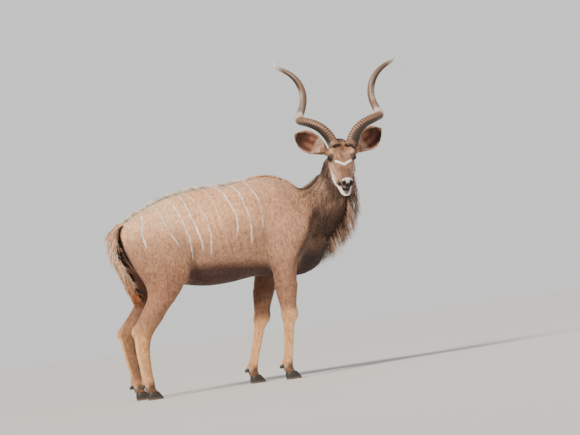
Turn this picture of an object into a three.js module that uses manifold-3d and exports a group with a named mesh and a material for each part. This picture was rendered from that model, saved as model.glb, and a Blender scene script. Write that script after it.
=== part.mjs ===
// A male greater kudu standing still, life size, with its head turned to its right.
// Lengths are millimetres: +X runs towards the chest, +Y to the animal's left, +Z up, the floor at Z = 0.
import * as THREE from 'three';
import Module from 'manifold-3d';
import { mergeVertices } from 'three/addons/utils/BufferGeometryUtils.js';

const wasm = await Module();
wasm.setup();

// Driving dimensions
const JOINT_GAP = 0.3;
const HORN_GAP = 0.4;
const BODY_SIDES = 20;
const LIMB_SIDES = 11;
const HEAD_SIDES = 14;
const JAW_SIDES = 10;
const STATION_STEPS = 2;
const CHEST_CUT_X = 1256;
const CLAW_SIDES = 10;

const FORE_CUT_Z = 800;
const HIND_CUT_Z = 850;
const CORONET_Z = 52;
const FAR_FORE_SET_BACK = 182;
const FAR_HIND_SET_BACK = 24;
const FAR_HOCK_SET_BACK = 34;
const HOCK_Z = 470;
const SET_BACK_TOP_Z = 930;

// The head stands at the poll and is turned, nose down and slightly rolled.
// The pair of horns is set a few degrees askew on it.
const POLL = new THREE.Vector3(1565, -55, 1588);
const FACE_TURN_DEG = -97;
const HORN_POLL = new THREE.Vector3(1584, -60, 1588);
const HORN_TURN_DEG = -104.8;
const FACE_DOWN_DEG = 48.8;
const HEAD_ROLL_DEG = 4.2;

const EYE_RADIUS = 20;
const LID_THICKNESS = 4;
const EYE_PLACE = { side: 79, up: -36, face: 158 };

const HORN_LENGTH = 976;
const HORN_TURNS = 1.656;
const HORN_TURN_EASE = 1.053;
const HORN_START_DEG = 7.5;
const HORN_COIL_BASE = 73;
const HORN_COIL_TIP = 39.5;
const HORN_OUT_DEG = 16.3;
const HORN_BACK_DEG = -1.3;
const HORN_BASE = { side: 62, up: 12, face: 61 };
const HORN_RINGS = 36;
const HORN_SIDES = 9;
const HORN_SUNK = 0.045;
const HORN_TIP_HALF = 3;
const HORN_BASE_HALF = 39;
const HORN_KEEL_LIFT = 1.2;

const EAR_LENGTH = 238;
const EAR_HALF_WIDTH = 78;
const EAR_RISE_LEFT_DEG = 36;
const EAR_RISE_RIGHT_DEG = 33;
const EAR_STEPS = 8;
const EAR_ACROSS = 6;
const EAR_BASE = { side: 112, up: -72, face: 50 };
const EAR_SWING = 12;

// Long hair, as flat tapered locks. Shares run up the neck from the chest to the head.
const LOCK_SEED = 29;
const LOCK_SUNK = 16;
const BEARD = { count: 35, from: 0.16, to: 0.86, longest: 205, shortest: 80, half: 21, thick: 6, spread: 15 };
const BEARD_CORE = { half: 15, reach: 54, steps: 8 };
const MANE = { count: 12, from: 0.25, to: 0.78, length: 70, half: 14, thick: 4, spread: 9 };
const CREST = { count: 17, from: 70, to: 1150, length: 88, half: 12, thick: 4, spread: 6 };
const TAIL_LOCKS = { rows: 6, length: 128, half: 12, thick: 4, from: 0.22, to: 0.82 };
const TAIL_CORE_SHARE = 0.62;

// Small helpers for numbers and solids
const radians = THREE.MathUtils.degToRad;
const mix = THREE.MathUtils.lerp;
const bulge = (value, power) => Math.sign(value) * Math.abs(value) ** power;

/** Turns points and triangles into a solid whose faces point outwards. */
function solidFrom(points, triangles) {
  let volume = 0;
  for (const [a, b, c] of triangles) {
    volume += points[a].dot(new THREE.Vector3().crossVectors(points[b], points[c]));
  }
  const vertProperties = new Float32Array(points.length * 3);
  points.forEach((point, i) => point.toArray(vertProperties, i * 3));
  const faces = volume < 0 ? triangles.map(([a, b, c]) => [a, c, b]) : triangles;
  const triVerts = new Uint32Array(faces.flat());
  return new wasm.Manifold(new wasm.Mesh({ numProp: 3, vertProperties, triVerts }));
}

/** Joins rings of equal length into one closed body with a point in the middle of each end. */
function closedLoft(rings) {
  const sides = rings[0].length;
  const points = rings.flat();
  const triangles = [];
  for (let ring = 0; ring + 1 < rings.length; ring += 1) {
    for (let side = 0; side < sides; side += 1) {
      const next = (side + 1) % sides;
      const a = ring * sides + side;
      const b = ring * sides + next;
      triangles.push([a, b, b + sides], [a, b + sides, a + sides]);
    }
  }
  const ends = [[0, false], [rings.length - 1, true]];
  for (const [ring, last] of ends) {
    const middle = new THREE.Vector3();
    rings[ring].forEach((point) => middle.addScaledVector(point, 1 / sides));
    const hub = points.push(middle) - 1;
    for (let side = 0; side < sides; side += 1) {
      const a = ring * sides + side;
      const b = ring * sides + (side + 1) % sides;
      triangles.push(last ? [a, b, hub] : [b, a, hub]);
    }
  }
  return solidFrom(points, triangles);
}

/** Passes a smooth curve through every column of a table of stations. */
function smoothStations(table, steps = STATION_STEPS) {
  const rows = [];
  for (let i = 0; i + 1 < table.length; i += 1) {
    const before = table[Math.max(i - 1, 0)];
    const after = table[Math.min(i + 2, table.length - 1)];
    for (let step = 0; step < steps; step += 1) {
      const t = step / steps;
      rows.push(table[i].map((value, column) => {
        const end = table[i + 1][column];
        const slopeStart = (end - before[column]) / 2;
        const slopeEnd = (after[column] - value) / 2;
        const h1 = 2 * t ** 3 - 3 * t ** 2 + 1;
        const h2 = t ** 3 - 2 * t ** 2 + t;
        const h3 = 3 * t ** 2 - 2 * t ** 3;
        const h4 = t ** 3 - t ** 2;
        return h1 * value + h2 * slopeStart + h3 * end + h4 * slopeEnd;
      }));
    }
  }
  rows.push(table[table.length - 1]);
  return rows;
}

/** Upright sections across the body: x, middle height, half width, reach up, reach down. */
function bodyLoft(table, sides, grow = 0, topPower = 1, lowPower = 0.95) {
  const rings = smoothStations(table).map(([x, z, half, up, down]) => {
    const ring = [];
    for (let side = 0; side < sides; side += 1) {
      const angle = (side / sides) * Math.PI * 2;
      const s = Math.sin(angle);
      const across = bulge(Math.cos(angle), s > 0 ? topPower : lowPower) * (half + grow);
      const reach = s > 0 ? up + grow : down + grow;
      ring.push(new THREE.Vector3(x, across, z + bulge(s, lowPower) * reach));
    }
    return ring;
  });
  return closedLoft(rings);
}

/** How far back a limb's section stands at a height: not at all on the near legs. */
const standsSquare = () => 0;
const farForeSetBack = (z) => FAR_FORE_SET_BACK * Math.max(0, 1 - (z / SET_BACK_TOP_Z) ** 1.5);
const farHindSetBack = (z) => {
  const low = Math.max(0, 1 - z / SET_BACK_TOP_Z);
  return FAR_HIND_SET_BACK * low + FAR_HOCK_SET_BACK * Math.exp(-(((z - HOCK_Z) / 190) ** 2));
};

/** Level sections down a limb: height, x, half depth, y, half width. */
function limbLoft(table, hand, setBack, grow = 0, low = -Infinity, high = Infinity) {
  const rows = smoothStations(table).filter((row) => row[0] > low && row[0] < high);
  const at = (height) => {
    const dense = smoothStations(table, 12);
    const index = dense.findIndex((row, i) => i > 0 && row[0] <= height && dense[i - 1][0] >= height);
    const [above, below] = [dense[index - 1], dense[index]];
    const t = (above[0] - height) / (above[0] - below[0] || 1);
    return above.map((value, column) => mix(value, below[column], t));
  };
  if (high < Infinity) rows.unshift(at(high));
  if (low > -Infinity) rows.push(at(low));
  const rings = rows.map(([z, x, depth, y, width]) => {
    const shear = setBack(z);
    const ring = [];
    for (let side = 0; side < LIMB_SIDES; side += 1) {
      const angle = (side / LIMB_SIDES) * Math.PI * 2;
      ring.push(new THREE.Vector3(
        x - shear + Math.cos(angle) * (depth + grow),
        hand * (y + Math.sin(angle) * (width + grow)),
        z,
      ));
    }
    return ring;
  });
  return closedLoft(rings);
}

/** Sections square to a curved axis: centre, half width, reach up, reach down, with a given side direction. */
function axisLoft(stations, sides, grow = 0) {
  const centres = stations.map((station) => station.at);
  const rings = stations.map((station, i) => {
    const ahead = centres[Math.min(i + 1, centres.length - 1)];
    const behind = centres[Math.max(i - 1, 0)];
    const along = new THREE.Vector3().subVectors(ahead, behind).normalize();
    const side = station.side.clone().addScaledVector(along, -station.side.dot(along)).normalize();
    const up = new THREE.Vector3().crossVectors(along, side).normalize();
    const middle = station.at.clone();
    if (i === 0) middle.addScaledVector(along, -grow);
    if (i === stations.length - 1) middle.addScaledVector(along, grow);
    const ring = [];
    for (let k = 0; k < sides; k += 1) {
      const angle = (k / sides) * Math.PI * 2;
      const s = Math.sin(angle);
      const reach = s > 0 ? station.up : station.down;
      ring.push(middle.clone()
        .addScaledVector(side, Math.cos(angle) * (station.half + grow))
        .addScaledVector(up, s * (reach + grow)));
    }
    return ring;
  });
  return closedLoft(rings);
}

/** An ellipsoid from a sphere, at a place, turned by a matrix. */
function ellipsoid(centre, radii, turn = new THREE.Matrix4(), segments = 14, rows = 10) {
  const sphere = new THREE.SphereGeometry(1, segments, rows);
  sphere.scale(...radii);
  sphere.applyMatrix4(turn);
  sphere.translate(centre.x, centre.y, centre.z);
  return solidOfGeometry(sphere);
}

/** Turns a closed three.js geometry into a solid. */
function solidOfGeometry(geometry) {
  const bare = geometry.clone();
  bare.deleteAttribute('normal');
  bare.deleteAttribute('uv');
  const merged = mergeVertices(bare, 1e-4);
  const points = [];
  const place = merged.getAttribute('position');
  for (let i = 0; i < place.count; i += 1) points.push(new THREE.Vector3().fromBufferAttribute(place, i));
  const triangles = [];
  const index = merged.getIndex();
  for (let i = 0; i < index.count; i += 3) {
    const face = [index.getX(i), index.getX(i + 1), index.getX(i + 2)];
    if (new Set(face).size === 3) triangles.push(face);
  }
  return solidFrom(points, triangles);
}

/** Keeps the largest closed surface of a solid. */
function largest(solid) {
  const pieces = solid.decompose().filter((piece) => piece.volume() > 0);
  return pieces.sort((a, b) => b.volume() - a.volume())[0];
}

const union = (...solids) => solids.flat().reduce((whole, solid) => whole.add(solid));
const without = (whole, ...cuts) => cuts.flat().reduce((rest, cut) => rest.subtract(cut), whole);

// Trunk: x, middle height, half width, reach up, reach down
const TRUNK = [
  [-36, 1105, 48, 50, 60],
  [-6, 1088, 98, 96, 145],
  [60, 1070, 132, 158, 235],
  [150, 1055, 155, 216, 282],
  [260, 1050, 166, 266, 300],
  [390, 1046, 173, 302, 330],
  [530, 1044, 186, 318, 350],
  [690, 1040, 200, 324, 342],
  [850, 1040, 197, 338, 325],
  [980, 1045, 181, 352, 352],
  [1100, 1038, 164, 336, 355],
  [1210, 1015, 143, 290, 325],
  [1300, 980, 113, 215, 252],
  [1358, 945, 70, 125, 150],
  [1380, 930, 28, 45, 52],
];

// Limbs, from the top down: height, x, half depth, y, half width
const FORE_LEG = [
  [1320, 1030, 62, 92, 40],
  [1210, 1060, 118, 120, 60],
  [1060, 1102, 145, 138, 72],
  [930, 1104, 146, 146, 76],
  [840, 1060, 118, 148, 71],
  [750, 1030, 96, 148, 61],
  [615, 1022, 81, 145, 51],
  [500, 1019, 61, 143, 44],
  [425, 1020, 58, 142, 45],
  [370, 1008, 43, 141, 37],
  [270, 992, 36, 140, 29],
  [165, 972, 34, 140, 30],
  [108, 955, 43, 140, 38],
  [74, 961, 36, 140, 34],
  [40, 976, 40, 140, 38],
];
const HIND_LEG = [
  [1250, 220, 110, 85, 45],
  [1140, 194, 180, 116, 70],
  [1020, 180, 212, 136, 82],
  [930, 192, 214, 146, 84],
  [820, 206, 180, 150, 80],
  [740, 200, 140, 150, 73],
  [670, 175, 115, 148, 64],
  [580, 106, 94, 146, 52],
  [510, 54, 92, 145, 45],
  [460, 12, 86, 145, 44],
  [410, 2, 62, 145, 40],
  [350, -8, 52, 145, 34],
  [270, -10, 46, 145, 31],
  [175, -4, 40, 145, 31],
  [112, -4, 46, 145, 38],
  [76, 4, 38, 145, 34],
  [40, 20, 41, 145, 38],
];

// Neck: x, y, z of the middle, half width, reach up to the nape, reach down to the throat
const NECK = [
  [1080, 0, 1055, 155, 295, 325],
  [1210, 0, 1085, 150, 222, 276],
  [1330, 0, 1125, 136, 158, 220],
  [1424, -4, 1190, 126, 132, 176],
  [1490, -14, 1265, 117, 122, 128],
  [1530, -30, 1345, 116, 124, 98],
  [1552, -46, 1425, 108, 112, 104],
  [1562, -56, 1495, 68, 78, 70],
];

// Head, in its own frame: face (poll to nose), middle, half width, reach up, reach down
const SKULL = [
  [-32, -72, 34, 34, 36],
  [0, -72, 62, 64, 66],
  [45, -70, 76, 78, 80],
  [95, -72, 82, 84, 92],
  [150, -78, 88, 84, 98],
  [195, -80, 86, 76, 86],
  [245, -74, 76, 62, 60],
  [300, -66, 59, 50, 42],
  [345, -60, 47, 42, 36],
  [385, -56, 43, 38, 33],
  [410, -54, 37, 30, 28],
  [424, -53, 20, 15, 14],
];
const JAW = [
  [90, -112, 60, 36, 44],
  [160, -122, 84, 56, 52],
  [235, -130, 82, 52, 40],
  [300, -140, 64, 24, 27],
  [350, -147, 48, 14, 21],
  [390, -152, 36, 12, 18],
  [412, -152, 20, 6, 9],
];

/** A frame at the poll: its left side, its crown and the way from poll to nose. */
function pollFrame(origin, turnDegrees) {
  const turn = radians(turnDegrees);
  const ahead = new THREE.Vector3(Math.cos(turn), Math.sin(turn), 0);
  const rise = new THREE.Vector3(0, 0, 1);
  const left = new THREE.Vector3().crossVectors(rise, ahead);
  const roll = radians(HEAD_ROLL_DEG);
  const side = left.clone().multiplyScalar(Math.cos(roll)).addScaledVector(rise, -Math.sin(roll));
  const top = rise.clone().multiplyScalar(Math.cos(roll)).addScaledVector(left, Math.sin(roll));
  const dip = radians(FACE_DOWN_DEG);
  const face = ahead.clone().multiplyScalar(Math.cos(dip)).addScaledVector(top, -Math.sin(dip));
  const crown = ahead.clone().multiplyScalar(Math.sin(dip)).addScaledVector(top, Math.cos(dip));
  return { origin, side, crown, face };
}

/** A direction of unit length given in a frame. */
function wayIn(frame, side, up, face) {
  return new THREE.Vector3()
    .addScaledVector(frame.side, side)
    .addScaledVector(frame.crown, up)
    .addScaledVector(frame.face, face)
    .normalize();
}

/** A place given in a frame. */
function placeIn(frame, side, up, face) {
  return frame.origin.clone()
    .addScaledVector(frame.side, side)
    .addScaledVector(frame.crown, up)
    .addScaledVector(frame.face, face);
}

const HEAD = pollFrame(POLL, FACE_TURN_DEG);
const HORNS = pollFrame(HORN_POLL, HORN_TURN_DEG);
const headTurn = new THREE.Matrix4().makeBasis(HEAD.side, HEAD.crown, HEAD.face);
const headPoint = (side, up, face) => placeIn(HEAD, side, up, face);
const headWay = (side, up, face) => wayIn(HEAD, side, up, face);

/** A loft along the face from the head's own table. */
function headLoft(table, sides, grow = 0, sidePower = 0.86, steps = STATION_STEPS) {
  const rings = smoothStations(table, steps).map(([face, up, half, top, low], i, rows) => {
    const past = (i === rows.length - 1 ? grow : 0) - (i === 0 ? grow : 0);
    const ring = [];
    for (let k = 0; k < sides; k += 1) {
      const angle = (k / sides) * Math.PI * 2;
      const s = Math.sin(angle);
      const reach = (s > 0 ? top : low) + grow;
      ring.push(headPoint(
        bulge(Math.cos(angle), sidePower) * (half + grow),
        up + bulge(s, sidePower) * reach,
        face + past,
      ));
    }
    return ring;
  });
  return closedLoft(rings);
}

/** The helix that a horn's middle line follows; hand is 1 for the left horn, -1 for the right. */
function hornLine(hand, t) {
  const out = radians(HORN_OUT_DEG);
  const back = radians(HORN_BACK_DEG);
  const axis = new THREE.Vector3(
    Math.sin(out) * hand,
    -Math.sin(back) * Math.cos(out),
    -Math.cos(back) * Math.cos(out),
  );
  const inward = new THREE.Vector3(-hand, 0, 0);
  inward.addScaledVector(axis, -inward.dot(axis)).normalize();
  const front = new THREE.Vector3().crossVectors(axis, inward);
  if (front.y < 0) front.negate();
  const start = radians(HORN_START_DEG);
  const phase = start + Math.PI * 2 * HORN_TURNS * Math.max(t, 0) ** HORN_TURN_EASE;
  const coil = mix(HORN_COIL_BASE, HORN_COIL_TIP, t);
  const local = new THREE.Vector3(hand * HORN_BASE.side, HORN_BASE.up, HORN_BASE.face)
    .addScaledVector(axis, HORN_LENGTH * t)
    .addScaledVector(inward, coil * Math.cos(phase) - HORN_COIL_BASE * Math.cos(start))
    .addScaledVector(front, coil * Math.sin(phase) - HORN_COIL_BASE * Math.sin(start));
  const outward = inward.clone().multiplyScalar(-Math.cos(phase)).addScaledVector(front, -Math.sin(phase));
  return {
    at: placeIn(HORNS, local.x, local.y, local.z),
    keel: wayIn(HORNS, outward.x, outward.y, outward.z),
  };
}

/** Half the thickness of the horn at a share of its length. */
function hornHalf(t) {
  const along = Math.min(Math.max(t, 0), 1);
  const waist = 1 - 0.1 * Math.exp(-((along / 0.09) ** 2));
  return mix(HORN_TIP_HALF, HORN_BASE_HALF, (1 - along) ** 0.62) * waist;
}

/** A coiled horn with a keel on the outside of its coil and rings round its lower two thirds. */
function hornSolid(hand, grow = 0) {
  const rings = [];
  for (let ring = 0; ring <= HORN_RINGS; ring += 1) {
    const t = mix(-HORN_SUNK, 1, ring / HORN_RINGS);
    const here = hornLine(hand, t);
    const ahead = hornLine(hand, Math.min(t + 0.01, 1.01)).at;
    const behind = hornLine(hand, t - 0.01).at;
    const along = new THREE.Vector3().subVectors(ahead, behind).normalize();
    const keel = here.keel.clone().addScaledVector(along, -here.keel.dot(along)).normalize();
    const flank = new THREE.Vector3().crossVectors(along, keel);
    const half = hornHalf(t) + grow;
    const middle = here.at.clone();
    if (ring === 0) middle.addScaledVector(along, -grow);
    const points = [];
    for (let side = 0; side < HORN_SIDES; side += 1) {
      const angle = (side / HORN_SIDES) * Math.PI * 2;
      const lift = side === 0 ? HORN_KEEL_LIFT : 1;
      points.push(middle.clone()
        .addScaledVector(keel, Math.cos(angle) * half * lift)
        .addScaledVector(flank, Math.sin(angle) * half * 0.92));
    }
    rings.push(points);
  }
  return closedLoft(rings);
}

/** The ear's frame: along the ear, the way its cup opens, and across. */
function earFrame(hand) {
  const rise = radians(hand > 0 ? EAR_RISE_LEFT_DEG : EAR_RISE_RIGHT_DEG);
  const dip = radians(FACE_DOWN_DEG);
  const upright = headWay(0, Math.cos(dip), -Math.sin(dip));
  const ahead = headWay(0, Math.sin(dip), Math.cos(dip));
  const along = headWay(hand, 0, 0).multiplyScalar(Math.cos(rise))
    .addScaledVector(upright, Math.sin(rise))
    .addScaledVector(ahead, -0.12)
    .normalize();
  const open = ahead.addScaledVector(along, -ahead.dot(along)).normalize();
  const across = new THREE.Vector3().crossVectors(along, open).multiplyScalar(hand);
  const base = headPoint(hand * EAR_BASE.side + EAR_SWING, EAR_BASE.up, EAR_BASE.face);
  return { base, along, open, across };
}

/** Half width, half wrap and wall of the ear at a share of its length. */
function earSection(t) {
  const table = [
    [0, 0.4, 165, 9],
    [0.15, 0.62, 128, 8],
    [0.35, 0.9, 96, 7],
    [0.55, 1, 76, 6],
    [0.75, 0.87, 62, 5],
    [0.9, 0.5, 50, 4],
    [1, 0.12, 38, 3],
  ];
  let i = 0;
  while (i + 2 < table.length && t > table[i + 1][0]) i += 1;
  const share = (t - table[i][0]) / (table[i + 1][0] - table[i][0]);
  const [, width, wrap, wall] = table[i].map((value, k) => mix(value, table[i + 1][k], share));
  return { width: width * EAR_HALF_WIDTH, wrap: radians(wrap), wall };
}

/** A cupped ear: an outer and an inner sheet joined round the rim, on a short stalk. */
function earSolid(hand) {
  const { base, along, open, across } = earFrame(hand);
  const columns = EAR_ACROSS + 1;
  const points = [];
  for (const inner of [false, true]) {
    for (let step = 0; step <= EAR_STEPS; step += 1) {
      const t = step / EAR_STEPS;
      const { width, wrap, wall } = earSection(t);
      const round = width / (wrap < Math.PI / 2 ? Math.sin(wrap) : 1);
      for (let k = 0; k < columns; k += 1) {
        const v = (k / EAR_ACROSS) * 2 - 1;
        const angle = wrap * v;
        const rim = 1 - 0.5 * Math.abs(v) ** 3;
        const radius = inner ? round - wall * rim : round;
        const lean = -20 * Math.sin(Math.PI * t) * v * t;
        points.push(base.clone()
          .addScaledVector(along, EAR_LENGTH * t + lean)
          .addScaledVector(across, Math.sin(angle) * radius)
          .addScaledVector(open, round - Math.cos(angle) * radius - round * 0.6));
      }
    }
  }
  const triangles = [];
  const inside = (EAR_STEPS + 1) * columns;
  const quad = (a, b, c, d) => triangles.push([a, b, c], [a, c, d]);
  for (let step = 0; step < EAR_STEPS; step += 1) {
    for (let k = 0; k < EAR_ACROSS; k += 1) {
      const a = step * columns + k;
      quad(a, a + 1, a + 1 + columns, a + columns);
      quad(inside + a, inside + a + columns, inside + a + 1 + columns, inside + a + 1);
    }
    const left = step * columns;
    const right = left + EAR_ACROSS;
    quad(left, left + columns, inside + left + columns, inside + left);
    quad(right, inside + right, inside + right + columns, right + columns);
  }
  const tip = EAR_STEPS * columns;
  for (let k = 0; k < EAR_ACROSS; k += 1) {
    quad(k, inside + k, inside + k + 1, k + 1);
    quad(tip + k, tip + k + 1, inside + tip + k + 1, inside + tip + k);
  }
  return solidFrom(points, triangles).add(earStalk(hand));
}

/** The stalk that carries the ear, sunk in the head. */
function earStalk(hand, grow = 0) {
  const { base, along, open } = earFrame(hand);
  const rows = [[-52, 24], [-20, 25], [0, 25], [22, 25], [34, 12]];
  return axisLoft(rows.map(([far, half]) => ({
    at: base.clone().addScaledVector(along, far).addScaledVector(open, 9),
    side: open,
    half,
    up: half,
    down: half,
  })), 10, grow);
}

/** The room that an ear needs beside the neck. */
function earRoom(hand) {
  const { base, along, open } = earFrame(hand);
  const middle = base.clone().addScaledVector(along, 62).addScaledVector(open, 6);
  return ellipsoid(middle, [72, 72, 72]).add(earStalk(hand, 9));
}

/** The middle of an eyeball. */
const eyeCentre = (hand) => headPoint(hand * EYE_PLACE.side, EYE_PLACE.up, EYE_PLACE.face);

/** The way an eye looks. */
const eyeWay = (hand) => headWay(hand * 0.83, 0.42, 0.2);

/** Neck stations as places with their side direction turning towards the head's side. */
function neckStations(grow = 0) {
  const rows = smoothStations(NECK);
  return rows.map(([x, y, z, half, up, down], i) => {
    const share = Math.min(1, Math.max(0, (i / (rows.length - 1) - 0.25) / 0.75));
    const ease = share * share * (3 - 2 * share);
    const angle = mix(0, radians(FACE_TURN_DEG), ease);
    const side = new THREE.Vector3(-Math.sin(angle), Math.cos(angle), 0);
    return { at: new THREE.Vector3(x, y, z), side, half: half + grow, up: up + grow, down: down + grow };
  });
}

/** The beard and mane line of the neck: a place on its throat or nape at a share along it. */
function neckEdge(share, throat, sink = 0) {
  const stations = neckStations();
  const place = share * (stations.length - 1);
  const i = Math.min(Math.floor(place), stations.length - 2);
  const t = place - i;
  const a = stations[i];
  const b = stations[i + 1];
  const along = new THREE.Vector3().subVectors(b.at, a.at).normalize();
  const side = a.side.clone().lerp(b.side, t);
  side.addScaledVector(along, -side.dot(along)).normalize();
  const up = new THREE.Vector3().crossVectors(side, along).normalize();
  if (up.z < 0) up.negate();
  const reach = throat ? -mix(a.down, b.down, t) : mix(a.up, b.up, t);
  const at = a.at.clone().lerp(b.at, t).addScaledVector(up, reach - Math.sign(reach) * sink);
  return { at, side, up, along };
}

/** Two claws of one foot, joined at the heel. */
function hoofSolid(x, y) {
  const claws = [-1, 1].map((hand) => {
    const rows = [
      [0, 4, 50, 19],
      [8, 4, 50, 20],
      [30, -4, 44, 20],
      [CORONET_Z, -8, 34, 18],
    ];
    const rings = rows.map(([z, shift, half, width]) => {
      const ring = [];
      for (let side = 0; side < CLAW_SIDES; side += 1) {
        const angle = (side / CLAW_SIDES) * Math.PI * 2;
        const ahead = Math.cos(angle);
        const narrow = ahead > 0 ? 1 - 0.45 * ahead ** 2 : 1;
        ring.push(new THREE.Vector3(
          x + shift + ahead * half,
          y + hand * 19.5 + Math.sin(angle) * width * narrow - hand * Math.max(0, ahead) * 3,
          z,
        ));
      }
      return ring;
    });
    return closedLoft(rings);
  });
  const bridge = new THREE.BoxGeometry(40, 16, 34);
  bridge.translate(x - 16, y, CORONET_Z - 17);
  return union(claws, solidOfGeometry(bridge));
}

/** A small claw behind the fetlock. */
function dewclaw(x, y, z) {
  return ellipsoid(new THREE.Vector3(x, y, z), [14, 9, 17], new THREE.Matrix4(), 7, 5);
}

/** One leg below its cut, its hoof and the same leg grown by the joint gap. */
function legParts(table, hand, setBack, cut, dewX) {
  const foot = table[table.length - 1];
  const dew = [-1, 1].map((side) => dewclaw(dewX - setBack(96), hand * foot[3] + side * 17, 96));
  const leg = union(limbLoft(table, hand, setBack, 0, CORONET_Z + JOINT_GAP, cut), dew);
  const fat = limbLoft(table, hand, setBack, JOINT_GAP, CORONET_Z, cut + JOINT_GAP);
  const hoof = hoofSolid(foot[1] + 10 - setBack(CORONET_Z), hand * foot[3]);
  return { leg, fat, hoof };
}

/** The limb above its cut, up into the shoulder or the rump. */
const upperLimb = (table, hand, setBack, cut) => limbLoft(table, hand, setBack, 0, cut);

// Tail: x, y, z of the middle, half width, half depth on both faces
const TAIL = [
  [22, 0, 1180, 26, 24, 24],
  [-22, -4, 1172, 28, 26, 26],
  [-62, -10, 1135, 36, 28, 28],
  [-88, -20, 1070, 48, 30, 30],
  [-90, -30, 990, 52, 32, 32],
  [-68, -38, 905, 50, 30, 30],
  [-38, -42, 820, 44, 28, 28],
  [-12, -42, 740, 36, 24, 24],
  [8, -38, 675, 22, 15, 15],
  [18, -34, 630, 6, 5, 5],
];

/** The tail's stations, with their sections scaled. */
const tailStations = (scale) => smoothStations(TAIL).map(([x, y, z, half, up, down]) => ({
  at: new THREE.Vector3(x, y, z),
  side: new THREE.Vector3(0, 1, 0),
  half: half * scale,
  up: up * scale,
  down: down * scale,
}));

/** The tail under its long hair, from its root in the rump. */
function tailCore(grow = 0) {
  const stations = tailStations(TAIL_CORE_SHARE);
  const kept = stations.slice(0, Math.round(stations.length * 0.88));
  return axisLoft(kept, 12, grow);
}

/** Even random numbers from 0 to 1 that repeat from the same seed. */
function seeded(seed) {
  let state = seed;
  return () => {
    state = (state * 16807) % 2147483647;
    return state / 2147483647;
  };
}

/** How wide a lock is at a share of its length: full in its lower half, then down to a point. */
const lockShare = (t) => Math.min(0.62 + t, 1) * (1 - t ** 3) + 0.05;

/** A flat, tapered lock, sunk in at its root, that bends from the way it starts to the way it falls. */
function hairLock({ root, way, fall, flat, length, half, thick, steps = 4 }) {
  const rings = [];
  const start = way.clone().normalize();
  const end = fall.clone().normalize();
  const at = root.clone().addScaledVector(start, -LOCK_SUNK);
  for (let step = 0; step <= steps; step += 1) {
    const t = step / steps;
    const along = start.clone().lerp(end, t).normalize();
    const across = flat.clone().addScaledVector(along, -flat.dot(along)).normalize();
    const thin = new THREE.Vector3().crossVectors(along, across);
    const share = lockShare(t);
    rings.push([[across, half], [thin, thick], [across, -half], [thin, -thick]]
      .map(([edge, reach]) => at.clone().addScaledVector(edge, reach * share)));
    at.addScaledVector(along, (length + LOCK_SUNK) / steps);
  }
  return closedLoft(rings);
}

/** The throat fringe: locks in three rows that hang from a low keel under the neck. */
function beardLocks() {
  const random = seeded(LOCK_SEED);
  const down = new THREE.Vector3(0, 0, -1);
  const keel = [];
  for (let step = 0; step <= BEARD_CORE.steps; step += 1) {
    const along = step / BEARD_CORE.steps;
    const { at, side } = neckEdge(mix(BEARD.from, BEARD.to, along), true, 8);
    const reach = BEARD_CORE.reach * (0.5 + 0.5 * Math.sin(along * Math.PI));
    keel.push({ at: at.addScaledVector(down, reach * 0.4), side, half: BEARD_CORE.half, up: reach, down: reach });
  }
  const locks = [axisLoft(keel, 8)];
  for (let i = 0; i < BEARD.count; i += 1) {
    const along = (i + 0.6 * random()) / BEARD.count;
    const { at, side, up, along: line } = neckEdge(mix(BEARD.from, BEARD.to, along), true, 4);
    const row = (i % 3) - 1;
    const full = Math.sin(Math.PI * along ** 0.9) ** 0.7;
    const way = down.clone().multiplyScalar(0.75)
      .addScaledVector(up, -0.7)
      .addScaledVector(side, row * 0.22 + 0.1 * (random() - 0.5));
    const fall = down.clone()
      .addScaledVector(side, 0.14 * (random() - 0.5) + row * 0.05)
      .addScaledVector(line, -0.2 * random());
    locks.push(hairLock({
      root: at.addScaledVector(side, row * BEARD.spread),
      way,
      fall,
      flat: line.clone().addScaledVector(side, 0.5 * (random() - 0.5)),
      length: mix(BEARD.shortest, BEARD.longest, full) * mix(0.8, 1.08, random()),
      half: BEARD.half * mix(0.8, 1.15, random()),
      thick: BEARD.thick,
    }));
  }
  return locks;
}

/** The nape mane: short locks that lean back down the neck. */
function maneLocks() {
  const random = seeded(LOCK_SEED + 1);
  const locks = [];
  for (let i = 0; i < MANE.count; i += 1) {
    const { at, side, up, along } = neckEdge(mix(MANE.from, MANE.to, (i + 0.5 * random()) / MANE.count), false, 2);
    const row = (i % 3) - 1;
    locks.push(hairLock({
      root: at.addScaledVector(side, row * MANE.spread),
      way: up.clone().addScaledVector(along, -0.5).addScaledVector(side, row * 0.3),
      fall: up.clone().multiplyScalar(0.25).addScaledVector(along, -1).addScaledVector(side, row * 0.12),
      flat: up.clone().addScaledVector(side, 0.5 * (random() - 0.5)),
      length: MANE.length * mix(0.8, 1.15, random()),
      half: MANE.half * mix(0.85, 1.15, random()),
      thick: MANE.thick,
    }));
  }
  return locks;
}

/** The crest along the back: locks on edge that lean towards the tail. */
function crestLocks() {
  const random = seeded(LOCK_SEED + 2);
  const rows = smoothStations(TRUNK, 8);
  const locks = [];
  for (let i = 0; i < CREST.count; i += 1) {
    const x = mix(CREST.from, CREST.to, (i + 0.5 * random()) / CREST.count);
    const index = rows.findIndex((place) => place[0] >= x);
    const [[behind, zBehind, , upBehind], [, z, , up]] = [rows[index - 3], rows[index]];
    const slope = new THREE.Vector3(behind - x, 0, zBehind + upBehind - z - up).normalize();
    const row = (i % 2) * 2 - 1;
    locks.push(hairLock({
      root: new THREE.Vector3(x, row * CREST.spread * random(), z + up - 2),
      way: slope.clone().addScaledVector(new THREE.Vector3(0, row * 0.1, 1), 0.36),
      fall: slope.clone().addScaledVector(new THREE.Vector3(0, row * 0.05, 1), -0.1),
      flat: new THREE.Vector3(0.2, 0.4 * (random() - 0.5), 1),
      length: CREST.length * mix(0.8, 1.15, random()),
      half: CREST.half * mix(0.85, 1.15, random()),
      thick: CREST.thick,
    }));
  }
  return locks;
}

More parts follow.
